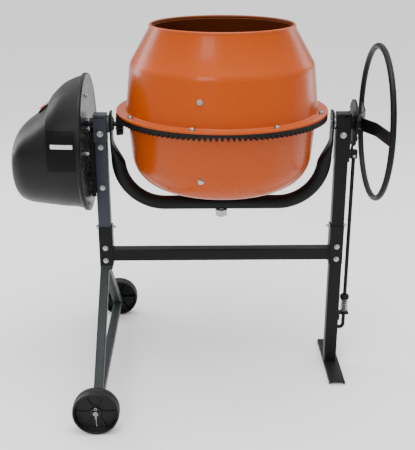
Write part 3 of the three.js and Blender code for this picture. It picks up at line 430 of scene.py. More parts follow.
# %% Fine scratches
scratched, given, out = shader_group(
    "fine scratches",
    [("Vector", "vector", None), ("Scale", "value", 60.0), ("Amount", "value", 0.3)],
    [("Mask", "value")],
)
lines = []
for stretch in ((1.0, 0.04, 0.3), (0.05, 1.0, 0.4)):
    mapping = scratched.nodes.new("ShaderNodeMapping")
    mapping.inputs["Scale"].default_value = stretch
    mapping.inputs["Rotation"].default_value = (0.4 * stretch[0], 0.7 * stretch[1], 0.5)
    scratched.links.new(given["Vector"], mapping.inputs["Vector"])
    streak = noise(scratched, mapping.outputs["Vector"], given["Scale"], 2.0)
    lines.append(maths(scratched, "MULTIPLY", maths(scratched, "SUBTRACT", streak, 0.66), 9.0, True))
worn = noise(scratched, given["Vector"], 5.0, 3.0)
where = maths(scratched, "MULTIPLY", maths(scratched, "SUBTRACT", worn, 0.45), 4.0, True)
both = maths(scratched, "MULTIPLY", maths(scratched, "MAXIMUM", lines[0], lines[1]), where)
scratched.links.new(maths(scratched, "MULTIPLY", both, given["Amount"], True), out["Mask"])
print("group:", scratched.name)

# %% Surface relief: a soft ripple and a fine grain
relief, given, out = shader_group(
    "surface relief",
    [("Vector", "vector", None), ("Ripple Scale", "value", 90.0), ("Ripple", "value", 0.5),
     ("Grain Scale", "value", 900.0), ("Grain", "value", 0.5)],
    [("Height", "value")],
)
ripple = maths(relief, "MULTIPLY", noise(relief, given["Vector"], given["Ripple Scale"], 2.0),
               given["Ripple"])
grain = maths(relief, "MULTIPLY", noise(relief, given["Vector"], given["Grain Scale"], 2.0),
              given["Grain"])
relief.links.new(maths(relief, "ADD", ripple, grain), out["Height"])
print("group:", relief.name)

# %% [markdown]
# ## The finishes
#
# Every finish is a Principled shader of its own. The groups feed its colour, roughness and normal. What is
# the same all over the surface, such as metal or coat, is set on the shader's own socket. The drum is
# enamel with a thin clear coat, the frame's black is satin powder, and the cover is a moulding with a fine
# spark texture.

# %% One function makes them all
def finish(name, colour, roughness, metallic=0.0, coat=0.0, variation=0.12, dust=0.15, scratches=0.25,
           bare="8f9192", ripple=(90, 0.3), grain=(900, 0.4), depth=0.0003, specular=0.5):
    material = bpy.data.materials.new(name)
    material.use_nodes = True
    tree = material.node_tree
    shader = tree.nodes["Principled BSDF"]
    shader.inputs["Metallic"].default_value = metallic
    shader.inputs["Coat Weight"].default_value = coat
    shader.inputs["Coat Roughness"].default_value = 0.08
    shader.inputs["Specular IOR Level"].default_value = specular
    place = tree.nodes.new("ShaderNodeTexCoord").outputs["Object"]

    def group(kind, **values):
        node = tree.nodes.new("ShaderNodeGroup")
        node.node_tree = kind
        tree.links.new(place, node.inputs["Vector"])
        for label, value in values.items():
            node.inputs[label.replace("_", " ")].default_value = value
        return node

    base = group(settled, Colour=linear(colour), Variation=variation, Dust=dust, Roughness=roughness)
    marks = group(scratched, Amount=scratches)
    surface = mixed(tree, marks.outputs["Mask"], base.outputs["Colour"], linear(bare))
    tree.links.new(surface, shader.inputs["Base Color"])
    tree.links.new(base.outputs["Roughness"], shader.inputs["Roughness"])
    height = group(relief, Ripple_Scale=ripple[0], Ripple=ripple[1], Grain_Scale=grain[0], Grain=grain[1])
    bump = tree.nodes.new("ShaderNodeBump")
    bump.inputs["Distance"].default_value = depth
    bump.inputs["Strength"].default_value = 1.0
    tree.links.new(height.outputs["Height"], bump.inputs["Height"])
    tree.links.new(bump.outputs["Normal"], shader.inputs["Normal"])
    return material


enamel = finish(
    "orange enamel", "a94302", 0.3, coat=0.08, dust=0.05, variation=0.06, scratches=0.04, bare="e08050",
    ripple=(60, 0.5), grain=(600, 0.1), specular=0.2,
)
# A darker orange for the drum's inside and paddles: painted shade, with real dust and scratches on top.
enamel_painted_shade = finish(
    "orange enamel with painted shade", "6e3410", 0.5, dust=0.1, variation=0.2, scratches=0.1, bare="8a4a24",
    specular=0.25,
)
black_powder = finish(
    "black powder coat", "0c0d0e", 0.45, dust=0.03, scratches=0.1, bare="4d4e50", ripple=(160, 0.5),
    specular=0.16,
)
slate_paint = finish(
    "slate paint", "2a2d37", 0.42, dust=0.04, scratches=0.1, bare="5b5d62", ripple=(120, 0.5), specular=0.3
)
leg_paint = finish(
    "leg paint", "262c2e", 0.46, dust=0.03, scratches=0.1, bare="5b5d62", ripple=(120, 0.5), specular=0.2
)
casting = finish("black casting", "0c0b0b", 0.55, dust=0.05, variation=0.3, scratches=0.15, bare="5f6162",
                 ripple=(140, 1.2), grain=(500, 1.0), depth=0.0006, specular=0.2)
moulding = finish("spark textured moulding", "090a0b", 0.38, dust=0.02, scratches=0.05, bare="3a3b3e",
                  ripple=(300, 0.5), grain=(1400, 0.8), specular=0.2)
tyre_plastic = finish(
    "tyre plastic", "0e0f12", 0.46, dust=0.04, scratches=0.12, bare="45464a", ripple=(200, 0.5), specular=0.2
)
plate_gloss = finish(
    "glossy black plate", "0d0d0e", 0.28, dust=0.03, scratches=0.06, bare="4d4e50", ripple=(120, 0.4),
    specular=0.16,
)
belt_rubber = finish("belt rubber", "0e0e10", 0.75, dust=0.05, scratches=0.0, ripple=(300, 0.5))
zinc = finish(
    "zinc plate", "a7aaa8", 0.34, metallic=1.0, scratches=0.3, bare="8e8c80", dust=0.1, ripple=(200, 0.4)
)
turned_steel = finish(
    "turned steel", "7d7f81", 0.33, metallic=1.0, scratches=0.4, bare="b0b2b4", ripple=(400, 0.3)
)
dark_steel = finish(
    "oil blackened steel", "1b1b1d", 0.38, metallic=0.6, scratches=0.3, bare="77797b", ripple=(400, 0.3)
)
alloy = finish("cast alloy", "a4a6a8", 0.45, metallic=1.0, ripple=(160, 1.0), grain=(700, 1.0))
bronze = finish("plain bronze", "9a7440", 0.38, metallic=1.0, bare="c7a05f")
nylon = finish("black nylon", "1c1d1e", 0.5, dust=0.05, scratches=0.1, bare="4a4a4a")
red_plastic = finish("red button plastic", "b01a12", 0.3, coat=0.2, dust=0.05, scratches=0.05, bare="d88078")
pale_plastic = finish(
    "pale button plastic", "a9aba7", 0.32, coat=0.2, dust=0.05, scratches=0.05, bare="a0a09c"
)
plate_white = finish(
    "printed plate white", "c9cbcb", 0.3, variation=0.03, dust=0.05, scratches=0.05, ripple=(40, 0.1),
    grain=(900, 0.1),
)
plate_black = finish(
    "printed plate black", "050505", 0.4, variation=0.03, dust=0, scratches=0.02, bare="202020",
    ripple=(40, 0.1), grain=(900, 0.1), specular=0.12,
)
print("finishes:", len([m for m in bpy.data.materials if m.users or m.use_nodes]))

# %% Finishes for every plain part
FINISH_OF_SLOT = {
    "drum_paint": enamel, "black_paint": black_powder, "slate_paint": slate_paint, "leg_paint": leg_paint,
    "black_casting": casting, "cover_plastic": moulding, "tyre_plastic": tyre_plastic,
    "belt_rubber": belt_rubber, "red_button": red_plastic, "pale_button": pale_plastic, "nylon": nylon,
    "zinc": zinc, "steel": turned_steel, "alloy": alloy, "bronze": bronze,
}
slot_of = {part["node"]: part["material_slot"] for part in frame["record"]["subparts"]}
body_of = {node: body for body, nodes in frame["record"]["behaviour"]["bodies"].items() for node in nodes}
for node, plain in frame["nodes"].items():
    for slot in plain.material_slots:
        slot.material = FINISH_OF_SLOT[slot_of[node]]
print(len(slot_of), "plain parts have their finish")


def fine(bm, node, edge=0, smooth=35, segments=2, finish_=None):
    """A piece that stands for one plain part and takes its body, slot and finish from it."""
    paint = finish_ or FINISH_OF_SLOT[slot_of[node]]
    return as_piece(bm, f"{node}_fine", paint, body_of[node], [node], edge, smooth, segments)


def soften(node, edge, segments=2, finish_=None):
    """The plain part's own shape with its edges rounded."""
    bm = bmesh.new()
    bm.from_mesh(frame["nodes"][node].data)
    bmesh.ops.remove_doubles(bm, verts=bm.verts, dist=1e-5)
    bmesh.ops.dissolve_limit(bm, angle_limit=math.radians(0.6), verts=bm.verts, edges=bm.edges)
    return fine(bm, node, edge, 32, segments, finish_)


def lathe(node, profile, centre, axis="X", steps=64, smooth=35, finish_=None):
    """A turned piece that stands for one plain part."""
    bm = bmesh.new()
    turned(bm, profile, centre, axis, steps)
    return fine(bm, node, smooth=smooth, finish_=finish_)

# %% [markdown]
# ## The drum
#
# The drum is two pressings of sheet steel. The upper one is a short cone, rolled over a wire at the mouth
# and turned out into a flange below; the lower one is a deep bowl with a flange that meets it. Both are
# round, so each is its own section, turned. The section is drawn with sharp corners and then rounded, with
# a large radius at the shoulder and a small one where the flange is folded.

# %% The upper pressing
skin = 2.5 * mm
flange_width = 30 * mm
wall_r = flange_r - flange_width
shoulder_r = wall_r - 14 * mm
lip_r = 4.5 * mm
lip_z = drum_high.z - tilt_z - lip_r
mouth_r = 212 * mm
shoulder_z = lip_z - 110 * mm
flange_z = drum_low.z - tilt_z


def rolled_lip(turns=14):
    """The mouth's edge, rolled outwards round a wire."""
    points = []
    for k in range(turns + 1):
        angle = -0.5 + k * 1.55 * math.pi / turns
        points.append((mouth_r + lip_r * math.cos(angle), lip_z + lip_r * math.sin(angle)))
    return points


def painted_shade_inside(piece):
    """The inside of a round pressing gets the second finish, a darker orange that is painted shade."""
    piece.data.materials.append(enamel_painted_shade)
    # Faces that look in towards the axis, and the bowl's floor, get the darker orange of painted shade.
    for face in piece.data.polygons:
        out_way = face.center - tilt_axis
        level = Vector((out_way.x, out_way.y, 0)).normalized()
        towards_axis = face.normal.dot(level) < -0.2
        floor_face = face.normal.z > 0.5 and face.center.z < tilt_z - 100 * mm
        if towards_axis or floor_face:
            face.material_index = 1


outside = [
    (flange_r, flange_z), (flange_r, flange_z + skin, 0.8 * mm), (wall_r, flange_z + skin, 5 * mm),
    (shoulder_r, shoulder_z, 55 * mm), (mouth_r + 3.6 * mm, lip_z - 4.5 * mm, 0),
]
inside = [
    (mouth_r - lip_r, lip_z - 6 * mm), (shoulder_r - skin, shoulder_z - 1.2 * mm, 52 * mm),
    (wall_r - skin, flange_z),
]
section = rounded(outside, 0, 8, closed=False) + rolled_lip() + rounded(inside, 0, 8, closed=False)
upper = lathe("drum_upper_shell", section, tilt_axis, "Z", 160, 50)
painted_shade_inside(upper)
print("upper pressing", len(upper.data.polygons), "faces")

# %% The bowl
bowl_top = bowl_high.z - tilt_z - skin
bowl_floor = bowl_low.z - tilt_z
bowl_floor_r = 267 * mm
corner_r = 100 * mm
hub_hole = 38.3 * mm
bowl_wall = wall_r - 3 * mm
outside = [
    (hub_hole, bowl_floor), (bowl_floor_r, bowl_floor, corner_r), (bowl_wall, bowl_top, 5 * mm),
    (flange_r, bowl_top), (flange_r, bowl_top + skin),
]
inside = [
    (bowl_wall - skin, bowl_top + skin, 3 * mm), (bowl_floor_r - skin, bowl_floor + skin, corner_r - skin),
    (hub_hole, bowl_floor + skin),
]
section = rounded(outside + inside, 0, 14, closed=False)
bowl = lathe("drum_bowl", section, tilt_axis, "Z", 160, 50)
painted_shade_inside(bowl)
print("bowl", len(bowl.data.polygons), "faces")

# %% [markdown]
# ## Copies round an axis
#
# The ring gear has 126 teeth. Modelling one and copying it by hand would be slow and would drift, so
# Geometry Nodes does it: the object holds one tooth with its own share of the ring, and the tree places
# copies of it round an axis, makes them real, welds the seams and gives them their material. The same tree
# serves the wheels' ribs and every other ring of equal things.

# %% A tree for copies round an axis
def geometry_tree(name, inputs):
    tree = bpy.data.node_groups.new(name, "GeometryNodeTree")
    tree.interface.new_socket("Geometry", in_out="INPUT", socket_type="NodeSocketGeometry")
    tree.interface.new_socket("Geometry", in_out="OUTPUT", socket_type="NodeSocketGeometry")
    for label, kind, default in inputs:
        socket = tree.interface.new_socket(label, in_out="INPUT", socket_type=f"NodeSocket{kind}")
        if default is not None:
            socket.default_value = default
    return tree, tree.nodes.new("NodeGroupInput").outputs, tree.nodes.new("NodeGroupOutput").inputs


def node_in(tree, kind, links=(), **settings):
    """A node with its inputs linked. A source is a value, a socket, or a node whose first output is meant."""
    node = tree.nodes.new(kind)
    for label, value in settings.items():
        setattr(node, label, value)
    for label, source in links:
        socket = node.inputs[label]
        source = source.outputs[0] if hasattr(source, "outputs") else source
        if hasattr(source, "is_output"):
            tree.links.new(source, socket)
        else:
            socket.default_value = source
    return node


def worked_out(piece):
    """Keeps what the modifiers make as the piece's own mesh, and takes them off."""
    graph = bpy.context.evaluated_depsgraph_get()
    mesh = bpy.data.meshes.new_from_object(piece.evaluated_get(graph))
    piece.modifiers.clear()
    piece.data = mesh
    return piece


def made_real(piece, tree, **values):
    modifier = piece.modifiers.new(tree.name, "NODES")
    modifier.node_group = tree
    for socket in tree.interface.items_tree:
        label = socket.name.replace(" ", "_").lower()
        if socket.in_out == "INPUT" and label in values:
            modifier[socket.identifier] = values[label]
    return worked_out(piece)


def coated(tree, shape, given, out):
    """Gives a tree's shape its material and sends it out."""
    last = node_in(tree, "GeometryNodeSetMaterial", [("Geometry", shape), ("Material", given["Finish"])])
    tree.links.new(last.outputs[0], out[0])


around, given, out = geometry_tree(
    "copies round an axis",
    [
        ("Count", "Int", 6), ("Centre", "Vector", (0, 0, 0)), ("Axis", "Vector", (0, 0, 1)),
        ("Finish", "Material", None),
    ],
)
back = node_in(around, "ShaderNodeVectorMath", [(0, given["Centre"]), ("Scale", -1.0)], operation="SCALE")
local = node_in(around, "GeometryNodeTransform",
                [("Geometry", given["Geometry"]), ("Translation", back)])
places = node_in(around, "GeometryNodeMeshLine", [("Count", given["Count"]),
                 ("Start Location", given["Centre"]), ("Offset", (0, 0, 0))])
number = node_in(around, "GeometryNodeInputIndex")
share = node_in(around, "ShaderNodeMath", [(0, 2 * math.pi), (1, given["Count"])], operation="DIVIDE")
angle = node_in(around, "ShaderNodeMath", [(0, number), (1, share)], operation="MULTIPLY")
turn = node_in(around, "FunctionNodeAxisAngleToRotation",
               [("Axis", given["Axis"]), ("Angle", angle)])
copies = node_in(around, "GeometryNodeInstanceOnPoints", [("Points", places),
                 ("Instance", local), ("Rotation", turn)])
real = node_in(around, "GeometryNodeRealizeInstances", [("Geometry", copies)])
welded = node_in(around, "GeometryNodeMergeByDistance", [("Geometry", real), ("Distance", 0.00001)])
coated(around, welded, given, out)
print("tree:", around.name)

# %% The ring gear
def outward(piece, smooth=35):
    """Turns every face of a closed piece outwards and marks its sharp edges."""
    bm = bmesh.new()
    bm.from_mesh(piece.data)
    bmesh.ops.recalc_face_normals(bm, faces=bm.faces)
    bm.to_mesh(piece.data)
    bm.free()
    piece.data.polygons.foreach_set("use_smooth", [True] * len(piece.data.polygons))
    piece.data.set_sharp_from_angle(angle=math.radians(smooth))


def seed(name, bm):
    """An object that holds what a tree will copy, or what will cut another piece."""
    mesh = bpy.data.meshes.new(name)
    bmesh.ops.recalc_face_normals(bm, faces=bm.faces)
    bm.to_mesh(mesh)
    bm.free()
    return in_scene(name, mesh)


teeth = 126
module = 5 * mm
pitch_r = module * teeth / 2
pinion_r = 30 * mm
gear_top = low_high("ring_gear")[1].z - tilt_z
gear_face = 22 * mm
root, tip = pinion_r + 1.25 * module, pinion_r - module
backlash = 0.5 * mm


def half_tooth(z):
    return math.pi * module / 4 - backlash / 2 - (pinion_r - z) * math.tan(math.radians(25))


half_pitch = math.pi * pitch_r / teeth
tooth = rounded([
    (-half_pitch, gear_top), (-half_pitch, root), (-half_tooth(root), root, 0.9 * mm),
    (-half_tooth(tip), tip, 0.8 * mm), (half_tooth(tip), tip, 0.8 * mm), (half_tooth(root), root, 0.9 * mm),
    (half_pitch, root), (half_pitch, gear_top),
], 0, 3, closed=False)
bm = bmesh.new()
ends = []
for radius in (flange_r, flange_r - gear_face):
    narrowing = radius / pitch_r
    ring = []
    for across, z in tooth:
        a = across / pitch_r
        height = z if z == gear_top else z * narrowing
        ring.append(bm.verts.new(tilt_axis + Vector((radius * math.cos(a), radius * math.sin(a), height))))
    ends.append(ring)
for k in [*range(1, len(tooth) - 2), len(tooth) - 1]:
    n = (k + 1) % len(tooth)
    bm.faces.new([ends[0][k], ends[0][n], ends[1][n], ends[1][k]])
bm.faces.new(ends[0][::-1])
bm.faces.new(ends[1])
gear = made_real(
    seed("ring_gear_fine", bm), around, count=teeth, centre=tilt_axis, axis=(0, 0, 1), finish=casting
)
outward(gear, 30)
settle(gear, "drum", ["ring_gear"])
print(teeth, "teeth,", len(gear.data.polygons), "faces")

# %% Hub, hub cap and mixing paddles
hub_low = low_high("drum_hub")[0].z - tilt_z
seat = low_high("drum_hub")[1].z - tilt_z - 6.3 * mm
hub_r, hub_flange_r, bore_r = 38 * mm, 70 * mm, 31.7 * mm
lathe(
    "drum_hub",
    rounded(
        [
            (bore_r, hub_low, 0.8 * mm), (hub_r, hub_low, 1.5 * mm), (hub_r, seat - 18 * mm, 6 * mm),
            (hub_flange_r, seat - 8 * mm, 2 * mm), (hub_flange_r, seat, 0.6 * mm), (hub_r, seat),
            (hub_r, hub_low + 48 * mm, 1 * mm), (bore_r, hub_low + 48 * mm, 0.8 * mm),
        ],
        0, 4,
    ),
    tilt_axis, "Z", 72,
)
foot = low_high("hub_cap")[0].z - tilt_z
dome = [(hub_r + 6 * mm, 0), (hub_r + 6 * mm, 6 * mm), (hub_r + 3 * mm, 12 * mm), (hub_r - 4 * mm, 20 * mm)]
dome += [(22 * mm, 26 * mm), (10 * mm, 28.2 * mm)]
outside = smooth_path([(*point, 0) for point in dome], 4)
outside = [(point.x, foot + point.y) for point in outside] + [(0, foot + 28.5 * mm)]
inside = [(max(r - 3 * mm, 0), max(z - 2.5 * mm, foot)) for r, z in reversed(outside)]
lathe("hub_cap", outside + inside, tilt_axis, "Z")
# The paddles stand inside the drum, so they take the darker orange of painted shade.
for node in ("mixing_paddle_1", "mixing_paddle_2"):
    soften(node, 1.4 * mm, finish_=enamel_painted_shade)
print("hub, cap and paddles")

# %% [markdown]
# ## The bail
#
# The bail is one length of round tube, bent into a wide U, whose ends are pressed flat to take the
# bearings. It is lofted: a ring of points follows the tube's outer line, and as it nears an end the ring
# changes from a circle to a flat rounded bar. A superellipse does both, so the change is smooth.

# %% Bail
bail_low, bail_high = low_high("bail")
bail_r = 165 * mm
bail_tube = 44 * mm
plate, plate_width = 7 * mm, 59 * mm
rise = bail_high.z - tilt_z
bail_out = (bail_high.x - bail_low.x) / 2
bail_drop = tilt_z - bail_low.z


def smoothstep(z, low, high):
    t = min(max((z - low) / (high - low), 0), 1)
    return t * t * (3 - 2 * t)


def bail_steps():
    """Points down the left side's outer line, each with the direction inwards."""
    bend = Vector((-(bail_out - bail_r), -(bail_drop - bail_r)))
    heights = [rise, rise - 1.5 * mm, rise - 4 * mm, rise - 8 * mm]
    heights += [rise - 8 * mm - (rise - 8 * mm - bend.y) * k / 16 for k in range(1, 17)]
    steps = [(-bail_out, z, 1, 0) for z in heights]
    for k in range(1, 25):
        a = math.pi + k * math.pi / 48
        steps.append(
            (bend.x + bail_r * math.cos(a), bend.y + bail_r * math.sin(a), -math.cos(a), -math.sin(a))
        )
    return steps


left = bail_steps()
steps = left + [(-x, z, -nx, nz) for x, z, nx, nz in reversed(left)]
bm = bmesh.new()
rings = []
for x, z, nx, nz in steps:
    flat = smoothstep(z, -128 * mm, -50 * mm)
    thick = bail_tube + (plate - bail_tube) * flat
    wide = bail_tube + (plate_width - bail_tube) * flat
    from_top = rise - z
    if from_top < 8 * mm:
        wide -= 19 * mm * (1 - math.sqrt(max(0.0, 1 - (1 - from_top / (8 * mm)) ** 2)))
    power = 1 - 0.62 * flat
    ring = []
    for k in range(36):
        a = 2 * math.pi * (k + 0.5) / 36
        c, s = math.cos(a), math.sin(a)
        across = math.copysign(abs(c) ** power, c) * thick / 2 + thick / 2
        y = math.copysign(abs(s) ** power, s) * wide / 2
        ring.append(bm.verts.new(tilt_axis + Vector((x + nx * across, y, z + nz * across))))
    rings.append(ring)
joined(bm, rings)
bm.faces.new(rings[0])
bm.faces.new(rings[-1])
bail = fine(bm, "bail", smooth=60)
print("bail", len(bail.data.polygons), "faces")

# %% Bushes, sleeves and shafts on the tilt axis
def ring_between(node, inner, outer):
    """A plain ring of the node's length, its corners rounded."""
    low, high = low_high(node)
    section = rounded(rectangle(inner, low.x, outer, high.x), 0.8 * mm)
    lathe(node, section, on_tilt, finish_=dark_steel)


on_tilt = (0, 0, tilt_z)
ring_between("drive_sleeve", 16.3 * mm, 19 * mm)
ring_between("trunnion_bush", 12.8 * mm, 19 * mm)
low, high = low_high("bail_bush")
bush_bore, bush_r, collar_r, step = 19.3 * mm, 22.7 * mm, 27 * mm, low.x + 8 * mm
lathe(
    "bail_bush",
    rounded(
        [
            (bush_bore, low.x), (collar_r, low.x), (collar_r, step), (bush_r, step), (bush_r, high.x),
            (bush_bore, high.x),
        ],
        1 * mm,
    ),
    on_tilt,
)
low, high = low_high("trunnion_shaft")
shaft_r, collar_r = 12.5 * mm, 20 * mm
collar_from = bail_high.x + 0.3 * mm
collar_to = low_high("right_post")[0].x - 3 * mm
lathe(
    "trunnion_shaft",
    [
        (0, low.x),
        *rounded(
            [
                (shaft_r, low.x), (shaft_r, collar_from), (collar_r, collar_from), (collar_r, collar_to),
                (shaft_r, collar_to), (shaft_r, high.x - 13 * mm), (9 * mm, high.x - 13 * mm),
                (9 * mm, high.x),
            ],
            1 * mm, 3, closed=False,
        ),
        (0, high.x),
    ],
    on_tilt,
)
for node, edge in (("drum_spindle", 1), ("spindle_nut", 1.2), ("spindle_top_nut", 1), ("handwheel_nut", 1.2),
                   ("drive_pinion", 0.5)):
    soften(node, edge * mm)
soften("drive_shaft", 1 * mm, finish_=dark_steel)
print("bearings and shafts along the tilt axis")

# %% [markdown]
# ## The stand
#
# The stand is square tube, folded channel and weld. A drawn tube has round corners, so each bar is a
# rounded square carried from end to end, and the folded channels get a radius at each fold. The welds are
# there too: a bead of small overlapping ripples, because a bare joint between two tubes looks like a toy.

# %% Tubes
def tube(bm, start, end, size, wall, corner, across=(1, 0, 0)):
    """A hollow rounded tube between two points. size is along across, then along the third direction."""
    start, end = Vector(start), Vector(end)
    along = (end - start).normalized()
    u = Vector(across)
    v = along.cross(u).normalized()

    def outline(inset, radius):
        a, b = size[0] / 2 - inset, size[1] / 2 - inset
        return rounded(rectangle(-a, -b, a, b), radius, 5)

    loops = []
    for inset, radius, place in ((0, corner, start), (0, corner, end), (wall, corner - wall * 0.8, end),
                                 (wall, corner - wall * 0.8, start)):
        loops.append([bm.verts.new(place + u * p + v * q) for p, q in outline(inset, radius)])
    joined(bm, loops, closed=True)


post, wall = 40 * mm, 2 * mm
post_corner, leg_corner = 4.5 * mm, 3.5 * mm
for node in ("left_post", "right_post"):
    low, high = low_high(node)
    x = (low.x + high.x) / 2
    bm = bmesh.new()
    tube(bm, (x, 0, low.z), (x, 0, high.z), (post, post), wall, post_corner)
    fine(bm, node)
print("posts", round(high.z - low.z, 3), "m")

# %% Weld beads
def bead(bm, points, radius=1.9 * mm, pitch=2.4 * mm, closed=False):
    """A weld along a path: a rounded bar whose thickness ripples with each pass of the wire."""
    path = [Vector(point) for point in points]
    if closed:
        path.append(path[0])
    fine_path = []
    for a, b in zip(path, path[1:]):
        count = max(2, int((b - a).length / (pitch / 3)))
        fine_path += [a.lerp(b, k / count) for k in range(count)]
    fine_path.append(path[-1])
    rings = []
    for i, point in enumerate(fine_path):
        after, before = fine_path[min(i + 1, len(fine_path) - 1)], fine_path[max(i - 1, 0)]
        along = (after - before).normalized()
        side = along.orthogonal().normalized()
        other = along.cross(side)
        size = radius * (0.86 + 0.16 * math.sin(2 * math.pi * i / 3 + 0.6))
        if i in (0, len(fine_path) - 1):
            size *= 0.5
        angles = [2 * math.pi * k / 8 for k in range(8)]
        rings.append(
            [bm.verts.new(point + (side * math.cos(a) + other * math.sin(a)) * size) for a in angles]
        )
    for a, b in zip(rings, rings[1:]):
        match = min(range(8), key=lambda k: (b[k].co - a[0].co).length)
        for k in range(8):
            n = (k + 1) % 8
            bm.faces.new([a[k], a[n], b[(n + match) % 8], b[(k + match) % 8]])
    bm.faces.new(rings[0])
    bm.faces.new(rings[-1])


cross_low, cross_high = low_high("crossbar")
left_low, left_high = low_high("left_post")
right_low, right_high = low_high("right_post")
web_left, web_right = left_high.x + 0.3 * mm, right_low.x - 0.3 * mm
bar_tall, bar_wide = 19.5 * mm, 20 * mm
bar_z = cross_low.z + 53 * mm - bar_tall
sheet = 3 * mm
bm = bmesh.new()
bar_size = (2 * bar_tall, 2 * bar_wide)
tube(bm, (web_left + sheet, 0, bar_z), (web_right - sheet, 0, bar_z), bar_size, wall, post_corner, (0, 0, 1))
reach, fold = post / 2 + 0.3 * mm, 3.2 * mm
for web, outer, way in ((web_left, left_low.x, 1), (web_right, right_high.x, -1)):
    channel = [
        (outer, -reach - sheet), (outer, -reach), (web, -reach, 0.6 * mm), (web, reach, 0.6 * mm),
        (outer, reach), (outer, reach + sheet), (web + way * sheet, reach + sheet, fold),
        (web + way * sheet, -reach - sheet, fold),
    ]
    extruded(bm, rounded(channel, 0, 4), cross_low.z, cross_high.z)
fine(bm, "crossbar", edge=0.5 * mm)
bm = bmesh.new()
corners = ((-1, -0.8), (-1, 0.8), (-0.8, 1), (0.8, 1), (1, 0.8), (1, -0.8), (0.8, -1), (-0.8, -1))
for face in (web_left + sheet, web_right - sheet):
    bead(bm, [(face, y * bar_wide, bar_z + z * bar_tall) for y, z in corners], closed=True)
as_piece(bm, "crossbar_welds", black_powder, "frame")
print("cross bar at", round(bar_z, 3))

# %% Axle frame, foot and axle
frame_high = low_high("axle_frame")[1]
axle = middle("axle")
leg = 28 * mm
leg_size = (leg, leg)
leg_x = axle.x
foot_y = 335 * mm
plate_top = cross_low.z - 0.5 * mm
bm = bmesh.new()
tube(bm, (leg_x, -frame_high.y, axle.z), (leg_x, frame_high.y, axle.z), leg_size, wall, leg_corner)
for side in (-1, 1):
    tube(
        bm, (leg_x, side * 8 * mm, plate_top - 16 * mm), (leg_x, side * foot_y, axle.z + 5 * mm), leg_size,
        wall, leg_corner,
    )
reach = 23 * mm
top_plate = rounded(rectangle(left_low.x, -reach, left_high.x, reach), 3 * mm)
extruded(bm, top_plate, plate_top - 12 * mm, plate_top)
spigot = 17.4 * mm
x = (left_low.x + left_high.x) / 2
tube(bm, (x, 0, plate_top - 1 * mm), (x, 0, frame_high.z), (2 * spigot, 2 * spigot), wall, 3 * mm)
for side in (-1, 1):
    half = 12 * mm
    plug = rectangle(axle.z - half, leg_x - half, axle.z + half, leg_x + half)
    ends = side * (frame_high.y - 3 * mm), side * (frame_high.y - 1 * mm)
    extruded(bm, rounded(plug, 1.5 * mm), *ends, (0, 0, 0), "Y")
fine(bm, "axle_frame")
bm = bmesh.new()
toe_y, heel_y, beam_top = foot_y - 33 * mm, foot_y + 8 * mm, axle.z + leg / 2
for side in (-1, 1):
    toe = Vector((leg_x, side * toe_y, beam_top))
    bead(bm, [toe + Vector((dx * leg / 2, 0, 0)) for dx in (-0.9, 0.9)], 2.2 * mm)
    for dx in (-1, 1):
        bead(bm, [(leg_x + dx * leg / 2, side * y, beam_top - 1 * mm) for y in (toe_y, heel_y)])
    bead(
        bm, [(x, side * 22 * mm, plate_top - 13 * mm) for x in (left_low.x + 3 * mm, left_high.x - 6 * mm)],
        2.2 * mm,
    )
as_piece(bm, "axle_frame_welds", leg_paint, "frame")
foot_low, foot_high = low_high("support_foot")
bm = bmesh.new()
foot_tall, inner_tall = 12 * mm, 9 * mm
toe_x, heel_x = foot_low.x + sheet, foot_high.x - sheet
profile = [
    (0, foot_low.x), (foot_tall, foot_low.x, 3 * mm), (foot_tall, foot_high.x, 3 * mm), (0, foot_high.x),
    (0, heel_x), (inner_tall, heel_x, 1 * mm), (inner_tall, toe_x, 1 * mm), (0, toe_x),
]
extruded(bm, rounded(profile, 0, 4), foot_low.y, foot_high.y, (0, 0, 0), "Y")
fine(bm, "support_foot", edge=0.4 * mm)
bm = bmesh.new()
weld_z = foot_high.z + 0.6 * mm
inner_x, corner_x, outer_x = right_low.x + 3 * mm, right_high.x - 3 * mm, right_high.x + 0.5 * mm
half_run = [(inner_x, 20.5 * mm), (corner_x, 20.5 * mm), (outer_x, 17 * mm)]
bead(bm, [(x, -y, weld_z) for x, y in half_run] + [(x, y, weld_z) for x, y in half_run[::-1]])
as_piece(bm, "foot_welds", black_powder, "frame")
soften("axle", 1.2 * mm)
print("axle frame and foot")

# %% [markdown]
# ## Wheels
#
# The wheels are single mouldings: a tyre band, a thin web and six ribs between the hub and the band. The
# band and web are turned, and the tree that made the gear's teeth now sets the ribs round the axle. A split
# pin through the axle keeps each wheel on: one length of round wire with an eye.

# %% Wheels
wheel_low, wheel_high = low_high("wheel_rear")
wheel_r = (wheel_high.z - wheel_low.z) / 2
band_from, hub_to = wheel_high.y - 43 * mm, wheel_high.y - 13 * mm
hub_from = wheel_low.y
web = wheel_high.y - 21.5 * mm
wheel_bore, wheel_hub = 8.6 * mm, 18 * mm
band_in, band_edge, tread = wheel_r - 10 * mm, wheel_r - 8 * mm, wheel_r - 2 * mm
outline = [
    (wheel_bore, hub_from, 1 * mm), (wheel_hub, hub_from, 2 * mm), (wheel_hub, web - 4 * mm, 3 * mm),
    (band_in, web - 3 * mm, 4 * mm), (band_edge, band_from, 1.5 * mm), (tread, band_from, 5 * mm),
    (wheel_r, web - 6 * mm, 6 * mm), (tread, web - 1.5 * mm, 0.6 * mm), (tread, web + 1.5 * mm, 0.6 * mm),
    (wheel_r, web + 6 * mm, 6 * mm), (tread, wheel_high.y, 5 * mm), (band_edge, wheel_high.y, 1.5 * mm),
    (band_in, web + 3 * mm, 4 * mm), (wheel_hub, web + 4 * mm, 3 * mm), (wheel_hub, hub_to, 2 * mm),
    (wheel_bore, hub_to, 1 * mm),
]
rib_from, rib_to = web - 15 * mm, hub_to - 2 * mm
washer_bore, washer_r, washer_from, washer_to = 8.3 * mm, 15 * mm, hub_to + 0.4 * mm, hub_to + 2 * mm
